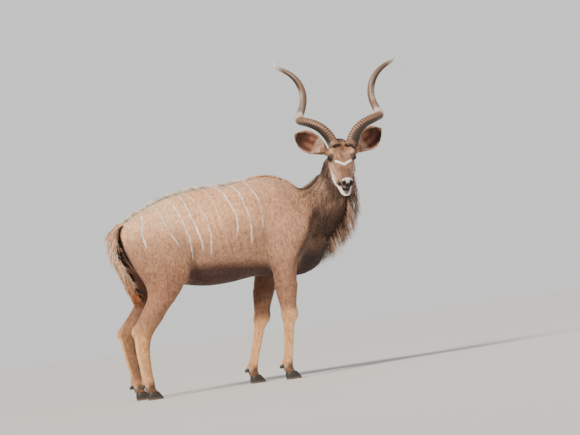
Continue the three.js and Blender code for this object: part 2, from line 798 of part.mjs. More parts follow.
/** The long hair of the tail: rows of locks round its rear and sides, and the tuft at its end. */
function tailLocks() {
  const random = seeded(LOCK_SEED + 3);
  const stations = tailStations(TAIL_CORE_SHARE);
  const locks = [];
  for (let row = 0; row < TAIL_LOCKS.rows; row += 1) {
    const share = mix(TAIL_LOCKS.from, TAIL_LOCKS.to, row / (TAIL_LOCKS.rows - 1));
    const index = Math.round(share * (stations.length - 1));
    const { at, half, up } = stations[index];
    const ahead = stations[Math.min(index + 1, stations.length - 1)].at;
    const line = new THREE.Vector3().subVectors(ahead, stations[index - 1].at).normalize();
    for (const spread of [-0.85, 0, 0.85]) {
      const out = new THREE.Vector3(-Math.cos(spread * 1.4), Math.sin(spread * 1.4), 0);
      const turned = out.clone().applyAxisAngle(new THREE.Vector3(0, 0, 1), 0.3 * (random() - 0.5));
      locks.push(hairLock({
        root: at.clone()
          .addScaledVector(new THREE.Vector3(0, 1, 0), out.y * half * 0.8)
          .addScaledVector(new THREE.Vector3(1, 0, 0), out.x * up * 0.8),
        way: line.clone().addScaledVector(turned, 0.36),
        fall: line.clone().addScaledVector(turned, -0.06),
        flat: new THREE.Vector3(0, 0, 1).cross(out),
        length: TAIL_LOCKS.length * mix(0.75, 1.1, random()) * (row > TAIL_LOCKS.rows - 3 ? 0.75 : 1),
        half: TAIL_LOCKS.half * mix(0.9, 1.2, random()),
        thick: TAIL_LOCKS.thick,
      }));
    }
  }
  return locks;
}

/** A thick slab between two nodes, square to a direction. */
function slab(centre, normal, width, height) {
  const box = new THREE.BoxGeometry(width, height, JOINT_GAP);
  const turn = new THREE.Quaternion().setFromUnitVectors(new THREE.Vector3(0, 0, 1), normal.clone().normalize());
  box.applyQuaternion(turn);
  box.translate(centre.x, centre.y, centre.z);
  return solidOfGeometry(box);
}

/** The mouth: a wedge between the upper lip and the jaw, open at the front. */
function mouthGap() {
  const rows = [
    [285, -109, 40, 2, 2],
    [325, -113, 46, 7, 7],
    [360, -115, 46, 11, 11],
    [395, -118, 46, 14, 14],
    [440, -121, 48, 17, 17],
  ];
  return headLoft(rows, 10, 0, 1, 1);
}

/** The head as one closed mass, before its openings are cut. */
function headMass(grow = 0) {
  const lid = EYE_RADIUS + LID_THICKNESS + grow;
  const bumps = [-1, 1].flatMap((hand) => [
    ellipsoid(eyeCentre(hand), [lid, lid, lid], new THREE.Matrix4(), 12, 8),
    ellipsoid(headPoint(hand * 62, -8, 124), [26 + grow, 18 + grow, 34 + grow], headTurn, 10, 6),
    ellipsoid(placeIn(HORNS, hand * 52, -12, 66), [39 + grow, 30 + grow, 42 + grow], headTurn, 10, 6),
  ]);
  return union(headLoft(SKULL, HEAD_SIDES, grow, 0.86, 1), headLoft(JAW, JAW_SIDES, grow, 0.86, 1), bumps);
}

/** The slit between the lids, along the face and open outwards. */
function lidOpening(hand) {
  const way = eyeWay(hand);
  const along = headWay(0, -0.25, 1);
  along.addScaledVector(way, -along.dot(way)).normalize();
  const basis = new THREE.Matrix4().makeBasis(along, new THREE.Vector3().crossVectors(way, along), way);
  return ellipsoid(eyeCentre(hand).addScaledVector(way, EYE_RADIUS), [18, 12, 20], basis, 10, 8);
}

/** One nostril. */
function nostril(hand) {
  const turn = headTurn.clone().multiply(new THREE.Matrix4().makeRotationY(hand * 0.5));
  return ellipsoid(headPoint(hand * 22, -38, 414), [8, 11, 13], turn, 8, 6);
}

/** The head with its sockets, nostrils, mouth and lids. */
function headSolid() {
  const socket = EYE_RADIUS + JOINT_GAP;
  const cuts = [-1, 1].flatMap((hand) => [
    ellipsoid(eyeCentre(hand), [socket, socket, socket], new THREE.Matrix4(), 12, 8),
    lidOpening(hand),
    nostril(hand),
    hornSolid(hand, HORN_GAP),
    earStalk(hand, JOINT_GAP),
  ]);
  return largest(without(headMass(), cuts, mouthGap()));
}

// Colours and surfaces
const FINISH = {
  coat: { color: 0xa98d78, roughness: 0.9, metalness: 0 },
  neck: { color: 0x7f6b5d, roughness: 0.95, metalness: 0 },
  face: { color: 0x8b7565, roughness: 0.85, metalness: 0 },
  leg: { color: 0xb08a5f, roughness: 0.9, metalness: 0 },
  tail: { color: 0xb58a5a, roughness: 0.95, metalness: 0 },
  ear: { color: 0x8a5a48, roughness: 0.9, metalness: 0 },
  horn: { color: 0x8d7766, roughness: 0.45, metalness: 0 },
  eye: { color: 0x120c09, roughness: 0.08, metalness: 0 },
  hoof: { color: 0x2b2521, roughness: 0.5, metalness: 0 },
};

/** Turns a solid into a named mesh with its own finish. */
function meshOf(name, solid, finish) {
  const { numProp, vertProperties, triVerts } = solid.getMesh();
  const geometry = new THREE.BufferGeometry();
  const position = new Float32Array((vertProperties.length / numProp) * 3);
  for (let i = 0; i < vertProperties.length / numProp; i += 1) {
    position.set(vertProperties.subarray(i * numProp, i * numProp + 3), i * 3);
  }
  geometry.setAttribute('position', new THREE.BufferAttribute(position, 3));
  geometry.setIndex(new THREE.BufferAttribute(new Uint32Array(triVerts), 1));
  geometry.computeVertexNormals();
  const mesh = new THREE.Mesh(geometry, new THREE.MeshStandardMaterial(finish));
  mesh.name = name;
  return mesh;
}

const kudu = new THREE.Group();
const legs = {
  leg_front_right: legParts(FORE_LEG, -1, standsSquare, FORE_CUT_Z, 917),
  leg_front_left: legParts(FORE_LEG, 1, farForeSetBack, FORE_CUT_Z, 917),
  leg_hind_right: legParts(HIND_LEG, -1, standsSquare, HIND_CUT_Z, -43),
  leg_hind_left: legParts(HIND_LEG, 1, farHindSetBack, HIND_CUT_Z, -43),
};

const flesh = union(
  bodyLoft(TRUNK, BODY_SIDES),
  upperLimb(FORE_LEG, -1, standsSquare, FORE_CUT_Z),
  upperLimb(FORE_LEG, 1, farForeSetBack, FORE_CUT_Z),
  upperLimb(HIND_LEG, -1, standsSquare, HIND_CUT_Z),
  upperLimb(HIND_LEG, 1, farHindSetBack, HIND_CUT_Z),
  axisLoft(neckStations(), BODY_SIDES),
  crestLocks(),
  maneLocks(),
  beardLocks(),
);
const legCuts = Object.values(legs).map(({ fat }) => fat);
const neckCut = slab(new THREE.Vector3(CHEST_CUT_X, 0, 1000), new THREE.Vector3(1, 0, 0), 900, 1200);
const trunkAndNeck = without(flesh, neckCut, legCuts).decompose().sort((a, b) => b.volume() - a.volume());
const torso = trunkAndNeck[0];
const neck = trunkAndNeck[1];

const rump = union(
  bodyLoft(TRUNK, BODY_SIDES, JOINT_GAP),
  limbLoft(HIND_LEG, -1, standsSquare, JOINT_GAP),
  limbLoft(HIND_LEG, 1, farHindSetBack, JOINT_GAP),
);
const tail = largest(tailCore().add(without(union(tailLocks()), rump)));
const eyeball = (hand) => ellipsoid(eyeCentre(hand), [EYE_RADIUS, EYE_RADIUS, EYE_RADIUS], new THREE.Matrix4(), 12, 8);

kudu.add(meshOf('torso', largest(without(torso, tailCore(JOINT_GAP))), FINISH.coat));
kudu.add(meshOf('neck', largest(without(neck, headMass(JOINT_GAP), [-1, 1].map(earRoom))), FINISH.neck));
kudu.add(meshOf('head', headSolid(), FINISH.face));
kudu.add(meshOf('tail', tail, FINISH.tail));
for (const [name, hand] of [['left', 1], ['right', -1]]) {
  kudu.add(meshOf(`horn_${name}`, hornSolid(hand), FINISH.horn));
  kudu.add(meshOf(`ear_${name}`, earSolid(hand), FINISH.ear));
  kudu.add(meshOf(`eye_${name}`, eyeball(hand), FINISH.eye));
}
for (const [name, { leg, hoof }] of Object.entries(legs)) {
  kudu.add(meshOf(name, leg, FINISH.leg));
  kudu.add(meshOf(name.replace('leg', 'hoof'), hoof, FINISH.hoof));
}

const bounds = new THREE.Box3().setFromObject(kudu);
kudu.position.set(-(bounds.min.x + bounds.max.x) / 2, -(bounds.min.y + bounds.max.y) / 2, 0);

export default kudu;
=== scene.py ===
"""A male greater kudu as a still, life-size model: skin, coat, long hair, horns, eyes, hooves."""

import logging
import math
from dataclasses import dataclass, field
from enum import Enum
from typing import Dict, List, Optional, Sequence, Tuple

import bpy
import numpy as np
from mathutils import Matrix, Vector
from mathutils.kdtree import KDTree

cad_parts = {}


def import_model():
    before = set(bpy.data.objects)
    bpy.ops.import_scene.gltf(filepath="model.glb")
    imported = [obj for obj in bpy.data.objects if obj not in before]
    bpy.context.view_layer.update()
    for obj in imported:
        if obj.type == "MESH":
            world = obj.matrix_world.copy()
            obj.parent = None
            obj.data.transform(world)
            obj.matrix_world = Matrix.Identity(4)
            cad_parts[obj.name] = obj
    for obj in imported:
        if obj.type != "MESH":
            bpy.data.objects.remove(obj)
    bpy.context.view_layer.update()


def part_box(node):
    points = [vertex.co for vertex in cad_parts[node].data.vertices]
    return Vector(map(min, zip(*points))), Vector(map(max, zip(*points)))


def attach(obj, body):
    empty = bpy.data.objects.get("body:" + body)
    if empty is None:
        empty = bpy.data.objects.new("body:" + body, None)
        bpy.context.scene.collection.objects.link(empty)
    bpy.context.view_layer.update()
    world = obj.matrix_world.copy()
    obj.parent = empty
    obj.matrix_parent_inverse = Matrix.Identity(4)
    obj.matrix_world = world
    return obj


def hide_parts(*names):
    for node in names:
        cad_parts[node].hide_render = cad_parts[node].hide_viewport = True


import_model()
LOG = logging.getLogger("kudu")

Array = np.ndarray
Triple = Tuple[float, float, float]
Colour = Tuple[float, float, float]

MILLIMETRE = 0.001
TINY = 1e-9


class Region(Enum):
    """The parts of the body that the coat tells apart."""

    TRUNK = 0
    NECK = 1
    HEAD = 2
    EAR_OUTER = 3
    EAR_INNER = 4
    TAIL = 5
    FORE_RIGHT = 6
    FORE_LEFT = 7
    HIND_RIGHT = 8
    HIND_LEFT = 9


class Hand(Enum):
    """The two sides of the animal."""

    LEFT = 1
    RIGHT = -1


HANDS: Tuple[int, int] = (Hand.LEFT.value, Hand.RIGHT.value)


def hand_word(hand: int) -> str:
    """The word for a side."""
    return Hand(hand).name.lower()


FORE_LIMBS = (Region.FORE_RIGHT, Region.FORE_LEFT)
HIND_LIMBS = (Region.HIND_RIGHT, Region.HIND_LEFT)
LIMBS = FORE_LIMBS + HIND_LIMBS
EARS_BOTH_FACES = (Region.EAR_OUTER, Region.EAR_INNER)


# Sections of the body, in millimetres, with the near hind hoof at x = 0 and the floor at z = 0.
# Trunk: x, middle height, half width, reach up, reach down
TRUNK = (
    (-36, 1105, 48, 50, 60), (-6, 1088, 98, 96, 145), (60, 1070, 132, 158, 235),
    (150, 1055, 155, 216, 282), (260, 1050, 166, 266, 300), (390, 1046, 173, 302, 330),
    (530, 1044, 186, 318, 350), (690, 1040, 200, 324, 342), (850, 1040, 197, 338, 325),
    (980, 1045, 181, 352, 352), (1100, 1038, 164, 336, 355), (1210, 1015, 143, 290, 325),
    (1300, 980, 113, 215, 252), (1358, 945, 70, 125, 150), (1380, 930, 28, 45, 52),
)
# Limbs, from the top down: height, x, half depth, y, half width
FORE_LEG = (
    (1320, 1030, 62, 92, 40), (1210, 1060, 118, 120, 60), (1060, 1102, 145, 138, 72),
    (930, 1104, 146, 146, 76), (840, 1060, 118, 148, 71), (750, 1030, 96, 148, 61),
    (615, 1022, 81, 145, 51), (500, 1019, 61, 143, 44), (425, 1020, 58, 142, 45),
    (370, 1008, 43, 141, 37), (270, 992, 36, 140, 29), (165, 972, 34, 140, 30),
    (108, 955, 43, 140, 38), (74, 961, 36, 140, 34), (40, 976, 40, 140, 38),
)
HIND_LEG = (
    (1250, 220, 110, 85, 45), (1140, 194, 180, 116, 70), (1020, 180, 212, 136, 82),
    (930, 192, 214, 146, 84), (820, 206, 180, 150, 80), (740, 200, 140, 150, 73),
    (670, 175, 115, 148, 64), (580, 106, 94, 146, 52), (510, 54, 92, 145, 45),
    (460, 12, 86, 145, 44), (410, 2, 62, 145, 40), (350, -8, 52, 145, 34),
    (270, -10, 46, 145, 31), (175, -4, 40, 145, 31), (112, -4, 46, 145, 38),
    (76, 4, 38, 145, 34), (40, 20, 41, 145, 38),
)
# Neck: x, y, z of the middle, half width, reach up to the nape, reach down to the throat
NECK = (
    (1080, 0, 1055, 155, 295, 325), (1210, 0, 1085, 150, 222, 276),
    (1330, 0, 1125, 136, 158, 220), (1424, -4, 1190, 126, 132, 176),
    (1490, -14, 1265, 117, 122, 128), (1530, -30, 1345, 116, 124, 98),
    (1552, -46, 1425, 108, 112, 104), (1562, -56, 1495, 68, 78, 70),
)
# Head, in its own frame: face (poll to nose), middle, half width, reach up, reach down
SKULL = (
    (-32, -72, 34, 34, 36), (0, -72, 62, 64, 66), (45, -70, 76, 78, 80),
    (95, -72, 82, 84, 92), (150, -78, 88, 84, 98), (195, -80, 86, 76, 86),
    (245, -74, 76, 62, 60), (300, -66, 59, 50, 42), (345, -60, 47, 42, 36),
    (385, -56, 43, 38, 33), (410, -54, 37, 30, 28), (424, -53, 20, 15, 14),
)
JAW = (
    (90, -112, 60, 36, 44), (160, -122, 84, 56, 52), (235, -130, 82, 52, 40),
    (300, -140, 64, 24, 27), (350, -147, 48, 14, 21), (390, -152, 36, 12, 18),
    (412, -152, 20, 6, 9),
)
# Tail: x, y, z of the middle, half width, half depth on both faces
TAIL = (
    (22, 0, 1180, 26, 24, 24), (-22, -4, 1172, 28, 26, 26), (-62, -10, 1135, 36, 28, 28),
    (-88, -20, 1070, 48, 30, 30), (-90, -30, 990, 52, 32, 32), (-68, -38, 905, 50, 30, 30),
    (-38, -42, 820, 44, 28, 28), (-12, -42, 740, 36, 24, 24), (8, -38, 675, 22, 15, 15),
    (18, -34, 630, 6, 5, 5),
)
TAIL_CORE_SHARE = 0.62
# Ear: share of its length, share of its half width, half wrap in degrees, wall
EAR = (
    (0.0, 0.4, 165, 9), (0.15, 0.62, 128, 8), (0.35, 0.9, 96, 7), (0.55, 1.0, 76, 6),
    (0.75, 0.87, 62, 5), (0.9, 0.5, 50, 4), (1.0, 0.12, 38, 3),
)


def unit(vectors: Array) -> Array:
    """Scale one vector, or rows of them, to length one."""
    length = np.linalg.norm(vectors, axis=-1, keepdims=True)
    return vectors / np.maximum(length, TINY)


def squared(vectors: Array, axes: Array) -> Array:
    """Unit vectors turned square to axes, row by row."""
    return unit(vectors - axes * np.sum(vectors * axes, axis=1, keepdims=True))


def angles_round(sides: int) -> Array:
    """Even angles round a circle."""
    return np.linspace(0, math.tau, sides, endpoint=False)


def read_along(shares: Array, rows: Array) -> Array:
    """Read three columns of evenly spaced rows at shares of their length."""
    key = np.linspace(0, 1, len(rows))
    return np.stack([np.interp(shares, key, rows[:, k]) for k in range(3)], axis=1)


def bulge(values: Array, power: float) -> Array:
    """Raise values to a power and keep their signs."""
    return np.sign(values) * np.abs(values) ** power


def ramp(values: Array, low: float, high: float) -> Array:
    """Rise smoothly from 0 at low to 1 at high; low may be above high."""
    share = np.clip((np.asarray(values, float) - low) / (high - low), 0, 1)
    return share * share * (3 - 2 * share)


def blob(values: Array, middle: float, width: float) -> Array:
    """A soft hump of height 1 round a middle."""
    return np.exp(-(((np.asarray(values, float) - middle) / width) ** 2))


def smooth_stations(table: Sequence[Sequence[float]], steps: int) -> Array:
    """Pass a smooth curve through every column of a table of stations.

    Args:
        table: The stations, one row each.
        steps: How many rows each step of the table becomes.

    Returns:
        The denser table.
    """
    rows = np.asarray(table, float)
    last = len(rows) - 1
    dense = []
    for i in range(last):
        before, start = rows[max(i - 1, 0)], rows[i]
        end, after = rows[i + 1], rows[min(i + 2, last)]
        for step in range(steps):
            t = step / steps
            dense.append(
                (2 * t**3 - 3 * t**2 + 1) * start
                + (t**3 - 2 * t**2 + t) * (end - before) / 2
                + (3 * t**2 - 2 * t**3) * end
                + (t**3 - t**2) * (after - start) / 2
            )
    dense.append(rows[last])
    return np.array(dense)


def column_at(table: Sequence[Sequence[float]], key: Array, column: int) -> Array:
    """Read one column of a table by its first column.

    Args:
        table: The stations, whose first column rises or falls steadily.
        key: Where to read.
        column: Which column.

    Returns:
        The column's value at each key.
    """
    rows = smooth_stations(table, 6)
    order = np.argsort(rows[:, 0])
    return np.interp(key, rows[order, 0], rows[order, column])


@dataclass
class PollFrame:
    """The frame at the top of the head: left side, crown, and the way from poll to nose."""

    origin: Triple
    turn: float
    down: float = 48.8
    roll: float = 4.2
    axes: Array = field(init=False)

    def __post_init__(self) -> None:
        """Work out the three axes from the angles."""
        turn, dip, roll = np.radians((self.turn, self.down, self.roll))
        ahead = np.array((math.cos(turn), math.sin(turn), 0.0))
        rise = np.array((0.0, 0.0, 1.0))
        left = np.cross(rise, ahead)
        side = left * math.cos(roll) - rise * math.sin(roll)
        top = rise * math.cos(roll) + left * math.sin(roll)
        face = ahead * math.cos(dip) - top * math.sin(dip)
        crown = ahead * math.sin(dip) + top * math.cos(dip)
        self.axes = np.array((side, crown, face))

    def point(self, local: Array) -> Array:
        """Places given as side, up and face."""
        return np.asarray(self.origin, float) + np.asarray(local, float) @ self.axes

    def way(self, local: Array) -> Array:
        """Unit directions given as side, up and face."""
        return unit(np.asarray(local, float) @ self.axes)

    def local(self, points: Array) -> Array:
        """Side, up and face of given places."""
        return (points - np.asarray(self.origin, float)) @ self.axes.T


HEAD = PollFrame(origin=(1565, -55, 1588), turn=-97)
HORNS = PollFrame(origin=(1584, -60, 1588), turn=-104.8)


@dataclass(frozen=True)
class Stance:
    """How the feet stand, and where the tables' own origin lies in the shared frame."""

    far_fore_back: float = 182
    far_hind_back: float = 24
    far_hock_back: float = 34
    hock_height: float = 470
    hock_reach: float = 190
    top: float = 930
    hoof_corner: Tuple[float, float] = (938, -140)

    def shift(self) -> Array:
        """The step in metres from the tables to the shared frame, read off one hoof."""
        low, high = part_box("hoof_front_right")
        corner_x, middle_y = self.hoof_corner
        return np.array((
            low.x - corner_x * MILLIMETRE,
            (low.y + high.y) / 2 - middle_y * MILLIMETRE,
            0.0,
        ))

    def set_back(self, limb: Region, z: Array) -> Array:
        """How far back a limb's section stands at a height.

        Args:
            limb: Which limb.
            z: The heights.

        Returns:
            The distances towards the tail.
        """
        z = np.asarray(z, float)
        if limb is Region.FORE_LEFT:
            return self.far_fore_back * np.maximum(0, 1 - (np.maximum(z, 0) / self.top) ** 1.5)
        if limb is Region.HIND_LEFT:
            low = np.maximum(0, 1 - z / self.top)
            return self.far_hind_back * low + self.far_hock_back * blob(z, self.hock_height, self.hock_reach)
        return z * 0


STANCE = Stance()
SHIFT = STANCE.shift()


def world(points: Array) -> Array:
    """Turn places of the tables, in millimetres, into metres of the shared frame."""
    return np.asarray(points, float) * MILLIMETRE + SHIFT


def tabled(points: Array) -> Array:
    """Turn metres of the shared frame into places of the tables, in millimetres."""
    return (np.asarray(points, float) - SHIFT) / MILLIMETRE


def limb_table(limb: Region) -> Sequence[Sequence[float]]:
    """The stations of a limb."""
    return FORE_LEG if limb in FORE_LIMBS else HIND_LEG


def limb_hand(limb: Region) -> int:
    """1 for a left limb and -1 for a right one."""
    return Hand.LEFT.value if limb in (Region.FORE_LEFT, Region.HIND_LEFT) else Hand.RIGHT.value


def faces_out(points: Array, faces: List[Tuple[int, ...]]) -> List[Tuple[int, ...]]:
    """Turn the faces of a closed form round where they point inwards.

    Args:
        points: The corners.
        faces: Their faces.

    Returns:
        The faces, pointing outwards.
    """
    volume = 0.0
    for corners in {len(face) for face in faces}:
        rows = np.array([face for face in faces if len(face) == corners])
        for i in range(1, corners - 1):
            a, b, c = (points[rows[:, k]] for k in (0, i, i + 1))
            volume += float(np.sum(a * np.cross(b, c)))
    return [face[::-1] for face in faces] if volume < 0 else faces


def linked(name: str, data: bpy.types.ID) -> bpy.types.Object:
    """Put a new object that shows some data into the scene."""
    thing = bpy.data.objects.new(name, data)
    bpy.context.scene.collection.objects.link(thing)
    return thing


class Sketch:
    """Closed forms gathered in one mesh, each point marked with its region and the coat's lie."""

    def __init__(self) -> None:
        """Start empty."""
        self.points: List[Array] = []
        self.faces: List[Tuple[int, ...]] = []
        self.regions: List[Array] = []
        self.lies: List[Array] = []
        self.count = 0

    def add(self, points: Array, faces: List[Tuple[int, ...]], region: Region, lie: Array) -> None:
        """Add a closed form.

        Args:
            points: Its corners in millimetres.
            faces: Its faces.
            region: The region its points belong to.
            lie: The way the coat lies, for all points or for each.
        """
        faces = faces_out(points, faces)
        self.faces += [tuple(i + self.count for i in face) for face in faces]
        self.points.append(points)
        self.regions.append(np.full(len(points), region.value))
        self.lies.append(np.broadcast_to(unit(np.asarray(lie, float)), points.shape))
        self.count += len(points)

    def loft(self, rings: Array, region: Region, lie_sign: float = 1.0) -> None:
        """Join rings into one closed form.

        Args:
            rings: Rings of equal length, as an array of rings, sides and coordinates.
            region: The region of the form.
            lie_sign: 1 where the coat lies from the first ring to the last, -1 for the other way.
        """
        count, sides = rings.shape[:2]
        faces: List[Tuple[int, ...]] = []
        for ring in range(count - 1):
            for side in range(sides):
                a, b = ring * sides + side, ring * sides + (side + 1) % sides
                faces.append((a, b, b + sides, a + sides))
        first, last = count * sides, count * sides + 1
        end = (count - 1) * sides
        for side in range(sides):
            after = (side + 1) % sides
            faces.append((after, side, first))
            faces.append((end + side, end + after, last))
        middles = rings.mean(axis=1)
        points = np.concatenate((rings.reshape(-1, 3), middles[:1], middles[-1:]))
        along = np.gradient(middles, axis=0) * lie_sign
        lie = np.concatenate((np.repeat(along, sides, axis=0), along[:1], along[-1:]))
        self.add(points, faces, region, lie)

    def ellipsoid(self, centre: Array, radii: Triple, axes: Array, region: Region, lie: Array) -> None:
        """Add an ellipsoid.

        Args:
            centre: Its middle.
            radii: Its three half sizes.
            axes: Their directions, one a row.
            region: The region it belongs to.
            lie: The way the coat lies on it.
        """
        rings = []
        for polar in np.linspace(0.12, math.pi - 0.12, 14):
            turn = angles_round(24)
            ball = np.stack((
                np.sin(polar) * np.cos(turn) * radii[0],
                np.sin(polar) * np.sin(turn) * radii[1],
                np.full(24, math.cos(polar) * radii[2]),
            ), axis=1)
            rings.append(centre + ball @ axes)
        self.loft(np.array(rings), region)
        self.lies[-1] = np.broadcast_to(unit(lie), self.lies[-1].shape)

    def mesh_object(self, name: str) -> bpy.types.Object:
        """Make an object of everything gathered, in millimetres."""
        mesh = bpy.data.meshes.new(name)
        mesh.from_pydata(np.concatenate(self.points).tolist(), [], self.faces)
        return linked(name, mesh)


def rows_of(items: bpy.types.bpy_prop_collection, slot: str, width: int = 3) -> Array:
    """Read one property of all items as rows."""
    flat = np.empty(len(items) * width, np.float32)
    items.foreach_get(slot, flat)
    return flat.reshape(-1, width).astype(float)


def mesh_points(mesh: bpy.types.Mesh) -> Array:
    """The places of a mesh's vertices as rows."""
    return rows_of(mesh.vertices, "co")


def mesh_edges(mesh: bpy.types.Mesh) -> Array:
    """The vertex pairs of a mesh's edges."""
    flat = np.empty(len(mesh.edges) * 2, np.int32)
    mesh.edges.foreach_get("vertices", flat)
    return flat.reshape(-1, 2)


def mesh_normals(mesh: bpy.types.Mesh) -> Array:
    """The normals of a mesh's vertices."""
    return rows_of(mesh.vertex_normals, "vector")


def move_points(mesh: bpy.types.Mesh, points: Array) -> None:
    """Set the places of a mesh's vertices."""
    mesh.vertices.foreach_set("co", points.astype(np.float32).ravel())
    mesh.update()


def relax(values: Array, edges: Array, weight: Array, rounds: int) -> Array:
    """Draw each row of values towards the mean of its neighbours.

    Args:
        values: One row for each vertex.
        edges: The vertex pairs.
        weight: How far each vertex goes in a round.
        rounds: How many rounds.

    Returns:
        The smoothed values.
    """
    values = np.array(values, float)
    one, two = edges.T
    size = len(values)
    degree = np.maximum(np.bincount(one, minlength=size) + np.bincount(two, minlength=size), 1)
    pull = (weight if np.ndim(weight) else np.full(size, weight))[:, None]
    for _ in range(rounds):
        mean = np.stack([
            np.bincount(one, values[two, k], size) + np.bincount(two, values[one, k], size)
            for k in range(values.shape[1])
        ], axis=1) / degree[:, None]
        values += pull * (mean - values)
    return values


def applied(thing: bpy.types.Object) -> bpy.types.Mesh:
    """The mesh of an object with its modifiers applied and then removed."""
    depsgraph = bpy.context.evaluated_depsgraph_get()
    mesh = bpy.data.meshes.new_from_object(thing.evaluated_get(depsgraph))
    thing.modifiers.clear()
    old = thing.data
    thing.data = mesh
    bpy.data.meshes.remove(old)
    return mesh


def shade_smooth(mesh: bpy.types.Mesh) -> None:
    """Shade every face of a mesh smoothly."""
    mesh.polygons.foreach_set("use_smooth", np.ones(len(mesh.polygons), bool))
    mesh.update()


def write_attribute(mesh: bpy.types.Mesh, name: str, kind: str, values: Array) -> None:
    """Store values on a mesh's vertices.

    Args:
        mesh: The mesh.
        name: The attribute's name.
        kind: FLOAT, FLOAT_VECTOR or FLOAT_COLOR.
        values: One number or row for each vertex.
    """
    layer = mesh.attributes.get(name) or mesh.attributes.new(name, kind, "POINT")
    slot = {"FLOAT": "value", "FLOAT_VECTOR": "vector", "FLOAT_COLOR": "color"}[kind]
    values = np.asarray(values, np.float32)
    if kind == "FLOAT_COLOR" and values.shape[1] == 3:
        values = np.concatenate((values, np.ones((len(values), 1), np.float32)), axis=1)
    layer.data.foreach_set(slot, values.ravel())


def read_attribute(mesh: bpy.types.Mesh, name: str, width: int = 3) -> Array:
    """Read a vertex attribute as rows: of 1 for a number, of 3 for a vector."""
    return rows_of(mesh.attributes[name].data, "value" if width == 1 else "vector", width)


def tree_of(points: Array) -> KDTree:
    """A search tree over places."""
    tree = KDTree(len(points))
    for i, point in enumerate(points):
        tree.insert(point, i)
    tree.balance()
    return tree


def piece(name: str, points: Array, faces: Sequence[Tuple[int, ...]]) -> bpy.types.Object:
    """Make a smooth object from places in the tables' millimetres.

    Args:
        name: The piece's name.
        points: Its corners.
        faces: Its faces.

    Returns:
        The object, standing in the shared frame.
    """
    mesh = bpy.data.meshes.new(name)
    mesh.from_pydata(world(points).tolist(), [], [tuple(face) for face in faces])
    shade_smooth(mesh)
    return linked(name, mesh)


def loft_parts(rings: Array, start: int = 0) -> Tuple[Array, List[Tuple[int, ...]]]:
    """Points and outward faces of a closed loft.

    Args:
        rings: Rings of equal length.
        start: The number of the first point.

    Returns:
        The points, and faces numbered from start.
    """
    sketch = Sketch()
    sketch.loft(rings, Region.TRUNK)
    return sketch.points[0], [tuple(i + start for i in face) for face in sketch.faces]


@dataclass(frozen=True)
class Skull:
    """Places on the head that the face is built from."""

    eye: Triple = (79, -36, 158)
    eye_radius: float = 20
    gaze: Triple = (0.83, 0.42, 0.2)
    lid_tilt: Triple = (0, -0.25, 1)

    def eye_centre(self, hand: int) -> Array:
        """The middle of an eyeball."""
        side, up, face = self.eye
        return HEAD.point((hand * side, up, face))

    def eye_axes(self, hand: int) -> Array:
        """Along the lids, across them, and the way the eye looks, one a row."""
        side, up, face = self.gaze
        way = HEAD.way((hand * side, up, face))
        along = HEAD.way(self.lid_tilt)
        along = unit(along - way * float(along @ way))
        return np.array((along, np.cross(way, along), way))


SKULL_PLACES = Skull()


